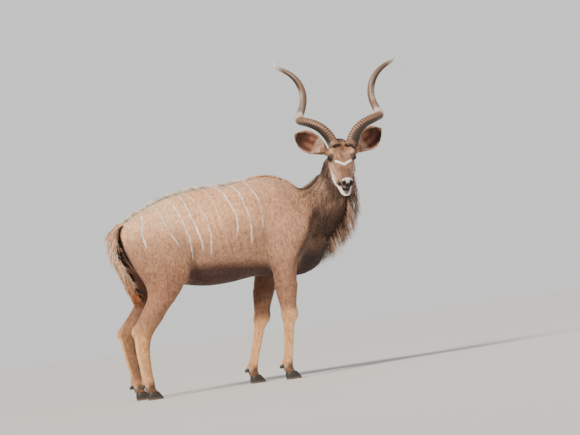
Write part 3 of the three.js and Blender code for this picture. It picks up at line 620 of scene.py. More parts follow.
@dataclass(frozen=True)
class EarForm:
    """The cupped ears on their stalks."""

    length: float = 238
    half_width: float = 78
    rise_left: float = 36
    rise_right: float = 33
    base: Triple = (112, -72, 50)
    swing: float = 12
    backward: float = 0.12
    thicken: float = 2.0
    stalk: Tuple[Tuple[float, float], ...] = ((-52, 24), (-20, 25), (0, 25), (22, 25), (34, 12))

    def axes(self, hand: int) -> Tuple[Array, Array, Array, Array]:
        """The ear's root, the way it runs, the way its cup opens, and across.

        Args:
            hand: 1 for the left ear, -1 for the right.

        Returns:
            The root and three unit directions.
        """
        rise = math.radians(self.rise_left if hand > 0 else self.rise_right)
        dip = math.radians(HEAD.down)
        upright = HEAD.way((0, math.cos(dip), -math.sin(dip)))
        ahead = HEAD.way((0, math.sin(dip), math.cos(dip)))
        along = HEAD.way((hand, 0, 0)) * math.cos(rise) + upright * math.sin(rise) - ahead * self.backward
        along = unit(along)
        opening = unit(ahead - along * float(ahead @ along))
        across = np.cross(along, opening) * hand
        side, up, face = self.base
        return HEAD.point((hand * side + self.swing, up, face)), along, opening, across

    def measure(self, hand: int, points: Array) -> Tuple[Array, Array, Array]:
        """How places lie to an ear.

        Args:
            hand: 1 for the left ear, -1 for the right.
            points: The places in the tables' millimetres.

        Returns:
            How near they are, their shares of its length, and how far across it they lie.
        """
        root, along, _, across = self.axes(hand)
        off = points - root
        near = ramp(np.linalg.norm(off - along * self.length / 2, axis=1), 190, 150)
        return near, off @ along / self.length, off @ across

    def sheet(self, hand: int, inner: bool, steps: int, columns: int) -> Array:
        """One face of the ear's wall.

        Args:
            hand: 1 for the left ear, -1 for the right.
            inner: Whether this is the face inside the cup.
            steps: Rows along the ear, less one.
            columns: Points across it.

        Returns:
            Rows of points from the root to the tip.
        """
        root, along, opening, across = self.axes(hand)
        table = np.asarray(EAR, float)
        rows = []
        v = np.linspace(-1, 1, columns)
        for t in np.linspace(0, 1, steps + 1):
            width, wrap, wall = (np.interp(t, table[:, 0], table[:, k]) for k in (1, 2, 3))
            width, wrap, wall = width * self.half_width, math.radians(wrap), wall + self.thicken
            radius = width / (math.sin(wrap) if wrap < math.pi / 2 else 1)
            rim = 1 - 0.45 * np.abs(v) ** 3
            reach = radius - wall * rim if inner else radius + 0 * v
            lean = -20 * math.sin(math.pi * t) * v * t
            rows.append(
                root + np.outer(self.length * t + lean, along)
                + np.outer(np.sin(wrap * v) * reach, across)
                + np.outer(radius - np.cos(wrap * v) * reach - radius * 0.6, opening)
            )
        return np.array(rows)

    def add_to(self, sketch: Sketch, hand: int) -> None:
        """Add the ear and its stalk to the sketch.

        Args:
            sketch: Where the forms are gathered.
            hand: 1 for the left ear, -1 for the right.
        """
        steps, columns = 34, 35
        root, along, opening, _ = self.axes(hand)
        outer = self.sheet(hand, False, steps, columns).reshape(-1, 3)
        inner = self.sheet(hand, True, steps, columns).reshape(-1, 3)
        inside = len(outer)
        faces: List[Tuple[int, ...]] = []
        for step in range(steps):
            for k in range(columns - 1):
                a = step * columns + k
                faces.append((a, a + 1, a + 1 + columns, a + columns))
                faces.append((inside + a, inside + a + columns, inside + a + 1 + columns, inside + a + 1))
            left, right = step * columns, step * columns + columns - 1
            faces.append((left, left + columns, inside + left + columns, inside + left))
            faces.append((right, inside + right, inside + right + columns, right + columns))
        tip = steps * columns
        for k in range(columns - 1):
            faces.append((k, inside + k, inside + k + 1, k + 1))
            faces.append((tip + k, tip + k + 1, inside + tip + k + 1, inside + tip + k))
        sketch.add(np.concatenate((outer, inner)), faces, Region.EAR_OUTER, along)
        sketch.regions[-1] = np.repeat([region.value for region in EARS_BOTH_FACES], inside)
        rings = []
        across = np.cross(along, opening)
        for far, half in smooth_stations(self.stalk, 4):
            turn = angles_round(20)
            ring = np.outer(np.cos(turn) * half, opening) + np.outer(np.sin(turn) * half, across)
            rings.append(root + along * far + opening * 9 + ring)
        sketch.loft(np.array(rings), Region.EAR_OUTER)


EARS = EarForm()


def body_rings(grow: float, sides: int, steps: int) -> Array:
    """Upright rings across the trunk.

    Args:
        grow: How far outside the table they stand.
        sides: Points in a ring.
        steps: Rings for each step of the table.

    Returns:
        The rings.
    """
    turn = angles_round(sides)
    rings = []
    for x, z, half, up, down in smooth_stations(TRUNK, steps):
        s = np.sin(turn)
        across = np.where(s > 0, np.cos(turn), bulge(np.cos(turn), 0.95)) * (half + grow)
        height = z + bulge(s, 0.95) * np.where(s > 0, up + grow, down + grow)
        rings.append(np.stack((np.full(sides, x), across, height), axis=1))
    return np.array(rings)


def limb_rings(limb: Region, grow: float, sides: int, steps: int, top: float, low: float) -> Array:
    """Level rings down a limb.

    Args:
        limb: Which limb.
        grow: How far outside the table they stand.
        sides: Points in a ring.
        steps: Rings for each step of the table.
        top: The height of the first ring.
        low: The height of the last ring.

    Returns:
        The rings.
    """
    table = smooth_stations(limb_table(limb), steps)
    heights = table[:, 0]
    keep = heights[(heights < top) & (heights > low)]
    turn = angles_round(sides)
    rings = []
    for z in np.concatenate(((min(top, heights[0]),), keep, (low,))):
        x, depth, y, width = (np.interp(z, heights[::-1], table[::-1, k]) for k in (1, 2, 3, 4))
        across = limb_hand(limb) * (y + np.sin(turn) * (width + grow))
        x = x - STANCE.set_back(limb, z)
        rings.append(np.stack((x + np.cos(turn) * (depth + grow), across, np.full(sides, z)), axis=1))
    return np.array(rings)


def axis_rings(at: Array, side: Array, half: Array, up: Array, down: Array, grow: float, sides: int) -> Array:
    """Rings square to a curved axis.

    Args:
        at: The middles.
        side: The side direction at each.
        half: Half widths.
        up: Reaches upwards.
        down: Reaches downwards.
        grow: How far outside these sizes the rings stand.
        sides: Points in a ring.

    Returns:
        The rings.
    """
    along = unit(np.gradient(at, axis=0))
    side = squared(side, along)
    rise = np.cross(along, side)
    turn = angles_round(sides)
    s = np.sin(turn)
    rings = []
    for i in range(len(at)):
        reach = np.where(s > 0, up[i], down[i]) + grow
        across = np.outer(np.cos(turn) * (half[i] + grow), side[i])
        rings.append(at[i] + across + np.outer(s * reach, rise[i]))
    return np.array(rings)


def neck_stations(steps: int) -> Tuple[Array, Array, Array]:
    """The neck's stations with their side direction turning towards the head's side.

    Args:
        steps: Rows for each step of the table.

    Returns:
        The table's rows, the middles, and the side directions.
    """
    rows = smooth_stations(NECK, steps)
    share = np.clip((np.linspace(0, 1, len(rows)) - 0.25) / 0.75, 0, 1)
    angle = math.radians(HEAD.turn) * share * share * (3 - 2 * share)
    side = np.stack((-np.sin(angle), np.cos(angle), angle * 0), axis=1)
    return rows, rows[:, :3], side


def head_rings(table: Sequence[Sequence[float]], grow: float, sides: int, steps: int) -> Array:
    """Rings along the face.

    Args:
        table: The stations of the skull or the jaw.
        grow: How far outside the table the rings stand.
        sides: Points in a ring.
        steps: Rings for each step of the table.

    Returns:
        The rings.
    """
    turn = angles_round(sides)
    rings = []
    for face, up, half, top, low in smooth_stations(table, steps):
        s = np.sin(turn)
        reach = np.where(s > 0, top, low) + grow
        local = np.stack((
            bulge(np.cos(turn), 0.86) * (half + grow),
            up + bulge(s, 0.86) * reach,
            np.full(sides, face),
        ), axis=1)
        rings.append(HEAD.point(local))
    return np.array(rings)


def tail_rings(scale: float, share: float) -> Array:
    """Rings down the tail.

    Args:
        scale: The share of the table's section.
        share: How much of the table's length is kept.

    Returns:
        The rings.
    """
    rows = smooth_stations(TAIL, 5)
    rows = rows[: int(round(len(rows) * share))]
    side = np.broadcast_to((0.0, 1.0, 0.0), (len(rows), 3))
    return axis_rings(rows[:, :3], side, rows[:, 3] * scale, rows[:, 4] * scale, rows[:, 5] * scale, 0, 20)


@dataclass(frozen=True)
class Stroke:
    """A soft ridge or hollow of the flesh along a line."""

    start: Triple
    end: Triple
    reach: float
    lift: float


# Strokes on the trunk and neck, given on the left side and mirrored
BODY_STROKES = tuple(Stroke(*row) for row in (
    ((1085, 112, 1345), (1062, 160, 1130), 26, 6),
    ((1020, 150, 1300), (1010, 172, 1110), 40, -5),
    ((962, 165, 1240), (948, 186, 960), 34, -9),
    ((1030, 190, 1090), (1000, 215, 960), 62, 8),
    ((1140, 175, 1080), (1090, 205, 940), 52, 6),
    ((1185, 150, 1210), (1160, 160, 1060), 40, -6),
    ((330, 130, 1300), (318, 150, 1262), 34, 9),
    ((405, 165, 1200), (440, 178, 1140), 78, -12),
    ((420, 172, 980), (350, 180, 850), 34, 7),
    ((450, 172, 950), (405, 178, 820), 34, -7),
    ((190, 198, 1060), (250, 215, 900), 110, 8),
    ((78, 160, 1160), (105, 200, 880), 30, -7),
    ((20, 120, 1130), (60, 175, 900), 34, 5),
    ((330, 215, 850), (345, 205, 800), 48, 7),
    ((1235, 145, 1010), (1400, 128, 1150), 34, -8),
    ((1260, 150, 1130), (1440, 120, 1260), 46, 5),
    ((1300, 138, 1000), (1330, 120, 900), 40, 5),
))
# Strokes on the limbs, given for the near side and carried over to the far one
FORE_STROKES = tuple(Stroke(*row) for row in (
    ((1078, 142, 445), (1070, 142, 405), 26, 5),
    ((1020, 190, 432), (1018, 190, 408), 22, 4),
    ((1020, 95, 432), (1018, 95, 408), 22, 3),
    ((962, 143, 440), (962, 142, 420), 18, 5),
    ((980, 172, 360), (958, 170, 170), 9, -3.5),
    ((980, 108, 360), (958, 110, 170), 9, -3),
    ((1018, 198, 720), (1016, 188, 520), 22, -3),
    ((955, 176, 112), (957, 176, 98), 15, 4),
    ((955, 104, 112), (957, 104, 98), 15, 4),
    ((930, 158, 880), (935, 160, 850), 26, 8),
))
HIND_STROKES = tuple(Stroke(*row) for row in (
    ((48, 190, 640), (10, 182, 530), 22, -9),
    ((48, 104, 640), (10, 110, 530), 22, -7),
    ((-66, 145, 515), (-70, 145, 495), 22, 7),
    ((26, 188, 470), (22, 188, 430), 24, 5),
    ((26, 102, 470), (22, 102, 430), 24, 4),
    ((-28, 178, 390), (-26, 176, 180), 9, -4),
    ((-28, 112, 390), (-26, 114, 180), 9, -3.5),
    ((-6, 182, 116), (-4, 182, 100), 15, 4),
    ((-6, 108, 116), (-4, 108, 100), 15, 4),
    ((200, 226, 760), (120, 198, 600), 40, 5),
))
# Strokes on the head, in its own frame as side, up and face
HEAD_STROKES = tuple(Stroke(*row) for row in (
    ((66, 4, 112), (84, -14, 150), 15, 5),
    ((86, -48, 190), (70, -30, 225), 15, -5),
    ((98, -72, 120), (78, -78, 240), 15, 5),
    ((60, -66, 300), (66, -92, 262), 17, -4),
    ((44, -34, 300), (36, -28, 345), 15, -3),
    ((0, 18, 150), (0, 14, 200), 22, -3),
    ((30, 14, 90), (14, 16, 120), 22, 3),
    ((34, -46, 398), (30, -62, 412), 12, 5),
    ((88, -62, 60), (92, -40, 96), 18, -5),
    ((92, -140, 150), (88, -140, 210), 30, 3),
    ((0, -30, 421), (0, -72, 424), 5, -4),
    ((26, -92, 340), (20, -88, 405), 10, 3),
))


@dataclass
class Skin:
    """One skin over the whole body, from the same sections as the solids."""

    body_depth: float = 7.0
    leg_depth: float = 3.0
    head_depth: float = 3.0
    block_voxel: float = 12.0
    voxel: float = 3.6
    quick_voxel: float = 7.0
    triangles: int = 188000
    limb_join: float = 640.0
    lowest: float = 47.0
    nodes: Tuple[str, ...] = (
        "torso", "neck", "head", "tail", "ear_left", "ear_right",
        "leg_front_right", "leg_front_left", "leg_hind_right", "leg_hind_left",
    )
    even_rounds: int = 7
    trunk_rounds: int = 16
    block_rounds: int = 18
    lie_rounds: int = 14
    marks: Tuple[Array, ...] = ()

    def build(self) -> bpy.types.Object:
        """Melt the forms into one skin, model its flesh, and mark it.

        Returns:
            The skin's object.
        """
        block = self._block()
        fine = self._fine_sketch(block)
        mesh = self._melt(fine, self.voxel)
        edges = mesh_edges(mesh)
        points = mesh_points(mesh)
        head = self._near_head(points)
        points = relax(points, edges, 0.55 - 0.25 * head, self.even_rounds)
        above = 0.6 * ramp(points[:, 2], 560, 700) * (1 - head)
        points = relax(points, edges, above, self.trunk_rounds)
        move_points(mesh, points)
        points = self._sculpt(points, mesh_normals(mesh))
        points = self._open_eyes(points)
        points = relax(points, edges, 0.3 * head, 1)
        move_points(mesh, points)
        self._thin_out(fine, head)
        mesh = fine.data
        move_points(mesh, world(mesh_points(mesh)))
        fine.name = mesh.name = "skin"
        shade_smooth(mesh)
        self._mark(mesh)
        return fine

    def _sketch_limbs(self, sketch: Sketch, depth: float, top: float, low: float) -> None:
        """Add the four limbs between two heights."""
        for limb in LIMBS:
            sketch.loft(limb_rings(limb, -depth, 32, 5, top, low), limb)

    def _sketch_neck(self, sketch: Sketch) -> None:
        """Add the neck, whose coat lies down towards the chest."""
        rows, at, side = neck_stations(5)
        rings = axis_rings(at, side, rows[:, 3], rows[:, 4], rows[:, 5], -self.body_depth, 48)
        sketch.loft(rings, Region.NECK, -1)

    def _block(self) -> bpy.types.Object:
        """Melt trunk, neck and upper limbs together with wide, soft joins.

        Returns:
            The block's object, in millimetres.
        """
        sketch = Sketch()
        sketch.loft(body_rings(-self.body_depth, 56, 5), Region.TRUNK, -1)
        self._sketch_neck(sketch)
        self._sketch_limbs(sketch, self.body_depth - 1, 1400, 480)
        block = sketch.mesh_object("block")
        mesh = self._melt(block, self.block_voxel)
        points = mesh_points(mesh)
        weight = 0.6 * ramp(points[:, 2], 640, 820)
        points = relax(points, mesh_edges(mesh), weight, self.block_rounds)
        move_points(mesh, points)
        points += mesh_normals(mesh) * (2.2 * ramp(points[:, 2], 640, 820))[:, None]
        move_points(mesh, points)
        return block

    def _fine_sketch(self, block: bpy.types.Object) -> bpy.types.Object:
        """Join the block with the lower limbs, head, ears and tail.

        Args:
            block: The softly joined body.

        Returns:
            One object of overlapping closed forms.
        """
        subdivide = block.modifiers.new("round", "SUBSURF")
        subdivide.levels = subdivide.render_levels = 1
        mesh = applied(block)
        flesh = Sketch()
        self._sketch_limbs(flesh, self.leg_depth, self.limb_join, self.lowest)
        self._sketch_head(flesh)
        flesh.loft(tail_rings(TAIL_CORE_SHARE, 0.88), Region.TAIL)
        marks = Sketch()
        marks.loft(body_rings(-self.body_depth, 56, 5), Region.TRUNK, -1)
        self._sketch_neck(marks)
        self._sketch_limbs(marks, self.body_depth, 1100, self.limb_join)
        self.marks = (
            np.concatenate(flesh.points + marks.points),
            np.concatenate(flesh.regions + marks.regions),
            np.concatenate(flesh.lies + marks.lies),
        )
        faces = [tuple(face.vertices) for face in mesh.polygons]
        flesh.add(mesh_points(mesh), faces, Region.TRUNK, (0, 0, -1))
        bpy.data.objects.remove(block)
        return flesh.mesh_object("fine")

    def _sketch_head(self, sketch: Sketch) -> None:
        """Add the skull, jaw, brows, horn pedicles, eye bumps and ears."""
        lie = HEAD.way((0, 0.1, -1))
        sketch.loft(head_rings(SKULL, -self.head_depth, 48, 6), Region.HEAD, -1)
        sketch.loft(head_rings(JAW, -self.head_depth, 40, 6), Region.HEAD, -1)
        for hand in HANDS:
            radius = SKULL_PLACES.eye_radius + 1
            sketch.ellipsoid(SKULL_PLACES.eye_centre(hand), (radius,) * 3, HEAD.axes, Region.HEAD, lie)
            brow = HEAD.point((hand * 62, -8, 124))
            sketch.ellipsoid(brow, (24, 16, 32), HEAD.axes, Region.HEAD, lie)
            pedicle = HORNS.point((hand * 52, -12, 66))
            sketch.ellipsoid(pedicle, (37, 28, 40), HEAD.axes, Region.HEAD, lie)
            EARS.add_to(sketch, hand)

    def _melt(self, thing: bpy.types.Object, voxel: float) -> bpy.types.Mesh:
        """Melt overlapping closed forms into one surface.

        Args:
            thing: The object to melt.
            voxel: The size of its new faces, in millimetres.

        Returns:
            The new mesh.
        """
        melt = thing.modifiers.new("melt", "REMESH")
        melt.mode = "VOXEL"
        melt.voxel_size = voxel
        melt.adaptivity = 0
        return applied(thing)

    def _near_head(self, points: Array) -> Array:
        """How much each point belongs to the head and ears."""
        reach = np.linalg.norm(points - HEAD.point((0, -70, 170)), axis=1)
        ears = np.zeros(len(points))
        for hand in HANDS:
            root, along, _, _ = EARS.axes(hand)
            ears = np.maximum(ears, ramp(np.linalg.norm(points - root - along * 120, axis=1), 230, 160))
        face = ramp(reach, 330, 250) * ramp(HEAD.local(points)[:, 2], -60, 10)
        return np.maximum(face, ears)

    def _sculpt(self, points: Array, normals: Array) -> Array:
        """Raise the muscles and bones and sink the hollows between them.

        Args:
            points: The skin's points in millimetres.
            normals: Their normals.

        Returns:
            The moved points.
        """
        lift = np.zeros(len(points))
        for hand in HANDS:
            mirrored = points * (1, hand, 1)
            self._stroke(lift, mirrored, BODY_STROKES)
            fore = Region.FORE_LEFT if hand > 0 else Region.FORE_RIGHT
            hind = Region.HIND_LEFT if hand > 0 else Region.HIND_RIGHT
            for limb, strokes in ((fore, FORE_STROKES), (hind, HIND_STROKES)):
                stood = mirrored.copy()
                stood[:, 0] += STANCE.set_back(limb, points[:, 2])
                self._stroke(lift, stood, strokes)
            self._stroke(lift, HEAD.local(points) * (hand, 1, 1), HEAD_STROKES)
        ribs = np.sin(points[:, 0] / 56 * math.tau + (points[:, 2] - 1000) * 0.012)
        side = ramp(np.abs(points[:, 1]), 110, 170)
        chest = ramp(points[:, 0], 520, 620) * ramp(points[:, 0], 960, 900) * side
        lift += 1.1 * ribs * chest * blob(points[:, 2], 1040, 140)
        return points + normals * lift[:, None]

    def _stroke(self, lift: Array, points: Array, strokes: Sequence[Stroke]) -> None:
        """Add a set of strokes to the lift of each point."""
        for stroke in strokes:
            start, end = np.array(stroke.start, float), np.array(stroke.end, float)
            middle = (start + end) / 2
            limit = np.linalg.norm(end - start) / 2 + 2.4 * stroke.reach
            near = np.nonzero(np.max(np.abs(points - middle), axis=1) < limit)[0]
            if not len(near):
                continue
            line = end - start
            share = np.clip((points[near] - start) @ line / float(line @ line), 0, 1)
            distance = np.linalg.norm(points[near] - start - np.outer(share, line), axis=1)
            lift[near] += stroke.lift * np.exp(-((distance / stroke.reach) ** 2))

    def _open_eyes(self, points: Array) -> Array:
        """Sink the skin behind each eyeball's opening, and bore the nostrils.

        Args:
            points: The skin's points in millimetres.

        Returns:
            The moved points.
        """
        radius = SKULL_PLACES.eye_radius
        for hand in HANDS:
            centre = SKULL_PLACES.eye_centre(hand)
            local = (points - centre) @ SKULL_PLACES.eye_axes(hand).T
            far = np.linalg.norm(local, axis=1)
            angle = np.arctan2(np.hypot(local[:, 0] * 0.72, local[:, 1]), local[:, 2])
            inside = ramp(angle, 1.0, 0.7) * (far < radius + 14) * (local[:, 2] > 0)
            shrink = 1 - inside * (1 - (radius - 5) / np.maximum(far, 1))
            points = centre + (points - centre) * shrink[:, None]
            nose = HEAD.local(points)
            slot = (nose - (hand * 21, -40, 414)) / (8.5, 11, 17)
            depth = np.exp(-np.sum(slot ** 2, axis=1) ** 1.5)
            points = points - np.outer(depth * 17, HEAD.way((hand * 0.35, 0, 1)))
        return points

    def _thin_out(self, thing: bpy.types.Object, head: Array) -> None:
        """Keep the head's faces fine and make the body's fewer.

        Args:
            thing: The skin's object.
            head: How much each vertex belongs to the head.
        """
        count = len(thing.data.polygons) * 2
        if count <= self.triangles:
            return
        group = thing.vertex_groups.new(name="fewer")
        weight = 1 - 0.82 * head
        for level in np.unique(np.round(weight, 1)):
            chosen = np.nonzero(np.round(weight, 1) == level)[0]
            group.add(chosen.tolist(), float(level), "REPLACE")
        thin = thing.modifiers.new("thin", "DECIMATE")
        thin.ratio = self.triangles / count
        thin.vertex_group = group.name
        thin.vertex_group_factor = 1.0
        applied(thing)
        thing.vertex_groups.clear()

    def _mark(self, mesh: bpy.types.Mesh) -> None:
        """Store each vertex's region and the lie of its coat.

        Args:
            mesh: The finished skin, in metres.
        """
        source, regions, lies = self.marks
        tree = tree_of(source)
        points = tabled(mesh_points(mesh))
        nearest = np.array([tree.find(point)[1] for point in points])
        lie = lies[nearest]
        for region, pull in ((Region.TRUNK, (0, 0, -0.28)), (Region.NECK, (0.25, 0, -1.1))):
            lie = lie + (regions[nearest] == region.value)[:, None] * np.array(pull)
        lie = relax(lie, mesh_edges(mesh), 0.7, self.lie_rounds)
        lie = squared(lie, mesh_normals(mesh))
        write_attribute(mesh, "region", "FLOAT", regions[nearest].astype(float))
        write_attribute(mesh, "lie", "FLOAT_VECTOR", lie)


@dataclass(frozen=True)
class HornForm:
    """A pair of open corkscrew horns with a keel and low rings."""

    length: float = 976
    turns: float = 1.656
    turn_ease: float = 1.053
    start: float = 7.5
    coil_base: float = 73
    coil_tip: float = 39.5
    out: float = 16.3
    back: float = -1.3
    base: Triple = (62, 12, 61)
    tip_half: float = 3
    base_half: float = 39
    keel_lift: float = 0.17
    keel_width: float = 0.34
    back_lift: float = 0.05
    groove_depth: float = 0.035
    flatness: float = 0.92
    ring_height: float = 1.6
    ring_count: float = 70
    rows: int = 420
    sides: int = 40

    def line(self, hand: int, t: Array) -> Tuple[Array, Array]:
        """The helix of a horn's middle line and the way its keel faces.

        Args:
            hand: 1 for the left horn, -1 for the right.
            t: Shares of the horn's length.

        Returns:
            The places, and the keel's directions.
        """
        out, back = math.radians(self.out), math.radians(self.back)
        axis = np.array((
            math.sin(out) * hand, -math.sin(back) * math.cos(out), -math.cos(back) * math.cos(out),
        ))
        inward = np.array((-hand, 0.0, 0.0))
        inward = unit(inward - axis * float(inward @ axis))
        front = np.cross(axis, inward)
        if front[1] < 0:
            front = -front
        start = math.radians(self.start)
        phase = start + math.tau * self.turns * np.maximum(t, 0) ** self.turn_ease
        coil = self.coil_base + (self.coil_tip - self.coil_base) * t
        side, up, face = self.base
        local = (
            np.array((hand * side, up, face)) + np.outer(self.length * t, axis)
            + np.outer(coil * np.cos(phase) - self.coil_base * math.cos(start), inward)
            + np.outer(coil * np.sin(phase) - self.coil_base * math.sin(start), front)
        )
        keel = -np.outer(np.cos(phase), inward) - np.outer(np.sin(phase), front)
        return HORNS.point(local), HORNS.way(keel)

    def half(self, t: Array) -> Array:
        """Half the thickness at shares of the length."""
        t = np.clip(t, 0, 1)
        waist = 1 - 0.1 * blob(t, 0, 0.09)
        return (self.tip_half + (self.base_half - self.tip_half) * (1 - t) ** 0.62) * waist

    def build(self, hand: int, finish: "Finish") -> bpy.types.Object:
        """Make one horn.

        Args:
            hand: 1 for the left horn, -1 for the right.
            finish: The horn's finish.

        Returns:
            The horn's object.
        """
        t = np.linspace(-0.045, 1, self.rows)
        at, keel = self.line(hand, t)
        along = unit(np.gradient(at, axis=0))
        keel = squared(keel, along)
        flank = np.cross(along, keel)
        turn = np.linspace(-math.pi, math.pi, self.sides, endpoint=False)
        ridge = self.keel_lift * blob(turn, 0, self.keel_width)
        ridge = ridge + self.back_lift * blob(np.abs(turn), 2.6, 0.5)
        groove = -self.groove_depth * blob(np.abs(turn), 0.75, 0.3)
        rings = []
        for i, share in enumerate(t):
            fade = 0.25 * float(np.clip(1.25 - share * 1.5, 0, 1)) + 0.75 * float(ramp(share, 0.42, 0.32))
            wave = 0.5 + 0.5 * math.sin(math.tau * self.ring_count * share)
            crowd = wave ** 2 * fade * (0.55 + 0.45 * np.cos(turn * 0.8 + math.sin(share * 40)))
            half = self.half(share) * (1 + (ridge + groove) * (1 - 0.7 * share)) - self.ring_height * fade
            half = half + self.ring_height * 1.3 * crowd
            across = np.outer(np.sin(turn) * half * self.flatness, flank[i])
            rings.append(at[i] + np.outer(np.cos(turn) * half, keel[i]) + across)
        corners, faces = loft_parts(np.array(rings))
        thing = piece(f"horn_{hand_word(hand)}_ringed", corners, faces)
        shares = np.concatenate((np.repeat(t, self.sides), t[:1], t[-1:]))
        turns = np.concatenate((np.tile(turn, self.rows), (0.0, 0.0)))
        place = np.stack((shares, np.cos(turns), np.sin(turns)), axis=1)
        write_attribute(thing.data, "horn_place", "FLOAT_VECTOR", place)
        # under: where painted shade falls, 1 on faces that point downwards and 0 on faces that point up
        write_attribute(thing.data, "under", "FLOAT", ramp(mesh_normals(thing.data)[:, 2], 0.22, -0.18))
        thing.data.materials.append(finish.material)
        return thing


@dataclass(frozen=True)
class Eyes:
    """Eyeballs between lids that stand a little off them."""

    rows: int = 40
    sides: int = 64
    cornea: float = 0.05
    opening: Tuple[float, float] = (50, 30)
    lid_outer: float = 88
    lid_steps: int = 18
    lid_thick: float = 2.6

    def ball(self, hand: int, finish: "Finish") -> bpy.types.Object:
        """Make one eyeball, with its poles on the line of sight.

        Args:
            hand: 1 for the left eye, -1 for the right.
            finish: The eye's finish.

        Returns:
            The eyeball's object.
        """
        axes = SKULL_PLACES.eye_axes(hand)
        centre = SKULL_PLACES.eye_centre(hand)
        polar = np.linspace(0.02, math.pi - 0.02, self.rows)
        turn = angles_round(self.sides)
        rings = []
        locals_ = []
        for angle in polar:
            radius = SKULL_PLACES.eye_radius * (0.985 + self.cornea * math.exp(-((angle / 0.55) ** 2)))
            flat = np.stack((np.cos(turn), np.sin(turn)), axis=1) * math.sin(angle)
            local = np.column_stack((flat, np.full(self.sides, math.cos(angle))))
            locals_.append(local)
            rings.append(centre + local @ axes * radius)
        corners, faces = loft_parts(np.array(rings))
        thing = piece(f"eye_{hand_word(hand)}_ball", corners, faces)
        local = np.concatenate((np.concatenate(locals_), ((0, 0, 1), (0, 0, -1))))
        write_attribute(thing.data, "eye_place", "FLOAT_VECTOR", local)
        thing.data.materials.append(finish.material)
        return thing

    def lids(self, hand: int, finish: "Finish") -> bpy.types.Object:
        """Make both lids of one eye as a shell round an almond opening.

        Args:
            hand: 1 for the left eye, -1 for the right.
            finish: The lids' finish.

        Returns:
            The lids' object.
        """
        axes = SKULL_PLACES.eye_axes(hand)
        centre = SKULL_PLACES.eye_centre(hand)
        radius = SKULL_PLACES.eye_radius
        turn = angles_round(self.sides)
        wide, high = self.opening
        edge = np.radians(wide * high) / np.sqrt((high * np.cos(turn)) ** 2 + (wide * np.sin(turn)) ** 2)
        edge = edge + np.radians(7) * np.abs(np.cos(turn)) ** 6
        profile = [(0.0, 0.3), (0.0, 1.1), (0.03, 2.2), (0.08, self.lid_thick)]
        for step in range(1, self.lid_steps + 1):
            share = step / self.lid_steps
            fold = 0.9 * math.exp(-(((share - 0.42) / 0.13) ** 2))
            lift = self.lid_thick + 0.7 * math.sin(share * math.pi) - fold - 3.2 * share ** 3
            profile.append((0.08 + 0.92 * share, lift))
        profile += [(1.0, -3.0), (0.55, -2.4), (0.15, 0.2)]
        rings = []
        for share, lift in profile:
            angle = edge + (np.radians(self.lid_outer) - edge) * share
            local = np.stack((
                np.cos(turn) * np.sin(angle), np.sin(turn) * np.sin(angle), np.cos(angle),
            ), axis=1)
            rings.append(centre + local @ axes * (radius + lift))
        points = np.array(rings)
        count = len(points)
        faces = []
        for ring in range(count):
            for side in range(self.sides):
                after = (side + 1) % self.sides
                up = (ring + 1) % count
                faces.append((
                    ring * self.sides + side, ring * self.sides + after,
                    up * self.sides + after, up * self.sides + side,
                ))
        corners = points.reshape(-1, 3)
        thing = piece(f"eyelids_{hand_word(hand)}", corners, faces_out(corners, faces))
        write_attribute(thing.data, "rim", "FLOAT", np.repeat([share for share, _ in profile], self.sides))
        thing.data.materials.append(finish.material)
        return thing


@dataclass(frozen=True)
class Hooves:
    """Two pointed claws for each foot, with growth rings, and the small claws behind."""

    profile: Tuple[Tuple[float, float, float, float], ...] = (
        (0, 4, 46, 17), (2, 4, 49, 18.6), (6, 4, 50, 19.2), (14, 2, 49, 19.6),
        (24, -2, 46, 19.8), (34, -5, 42, 19.4), (44, -7, 37, 18.6), (51, -8, 33, 17), (54, -8, 28, 14),
    )
    sides: int = 48
    rows: int = 5
    spread: float = 19.5
    ring_depth: float = 0.35
    toe_reach: float = 10
    sole_height: float = 52
    dew_radii: Triple = (12, 8, 15)
    dew_fore: float = 917
    dew_hind: float = -43
    dew_height: float = 94

    def build(self, limb: Region, name: str, finish: "Finish") -> bpy.types.Object:
        """Make the claws of one foot.

        Args:
            limb: The limb that the foot belongs to.
            name: The piece's name.
            finish: The hoof's finish.

        Returns:
            The foot's object.
        """
        hand = limb_hand(limb)
        foot = limb_table(limb)[-1]
        x = foot[1] + self.toe_reach - float(STANCE.set_back(limb, self.sole_height))
        y = hand * foot[3]
        turn = angles_round(self.sides)
        ahead = np.cos(turn)
        narrow = np.where(ahead > 0, 1 - 0.45 * ahead ** 2, 1)
        points: List[Array] = []
        faces: List[Tuple[int, ...]] = []
        count = 0
        rows = smooth_stations(self.profile, self.rows)
        for side in HANDS:
            rings = []
            for z, step, half, width in rows:
                ring = 1 - self.ring_depth / half * (1 + math.sin(z * 1.45)) * float(ramp(z, 4, 14))
                across = y + side * self.spread + np.sin(turn) * width * narrow * ring
                across = across - side * np.maximum(0, ahead) * 3
                level = np.full(self.sides, max(z, 0))
                rings.append(np.stack((x + step + ahead * half * ring, across, level), axis=1))
            corners, own = loft_parts(np.array(rings), count)
            points.append(corners)
            faces += own
            count += len(corners)
        dew_x = self.dew_fore if limb in FORE_LIMBS else self.dew_hind
        for side in HANDS:
            sketch = Sketch()
            middle = np.array((dew_x - float(STANCE.set_back(limb, 96)), y + side * 17, self.dew_height))
            axes = np.array(((1, 0, 0), (0, 1, 0), (0.35, 0, 1)), float)
            sketch.ellipsoid(middle, self.dew_radii, unit(axes), limb, np.array((0, 0, -1.0)))
            points.append(sketch.points[0])
            faces += [tuple(i + count for i in face) for face in sketch.faces]
            count += len(sketch.points[0])
        thing = piece(name, np.concatenate(points), faces)
        thing.data.materials.append(finish.material)
        return thing


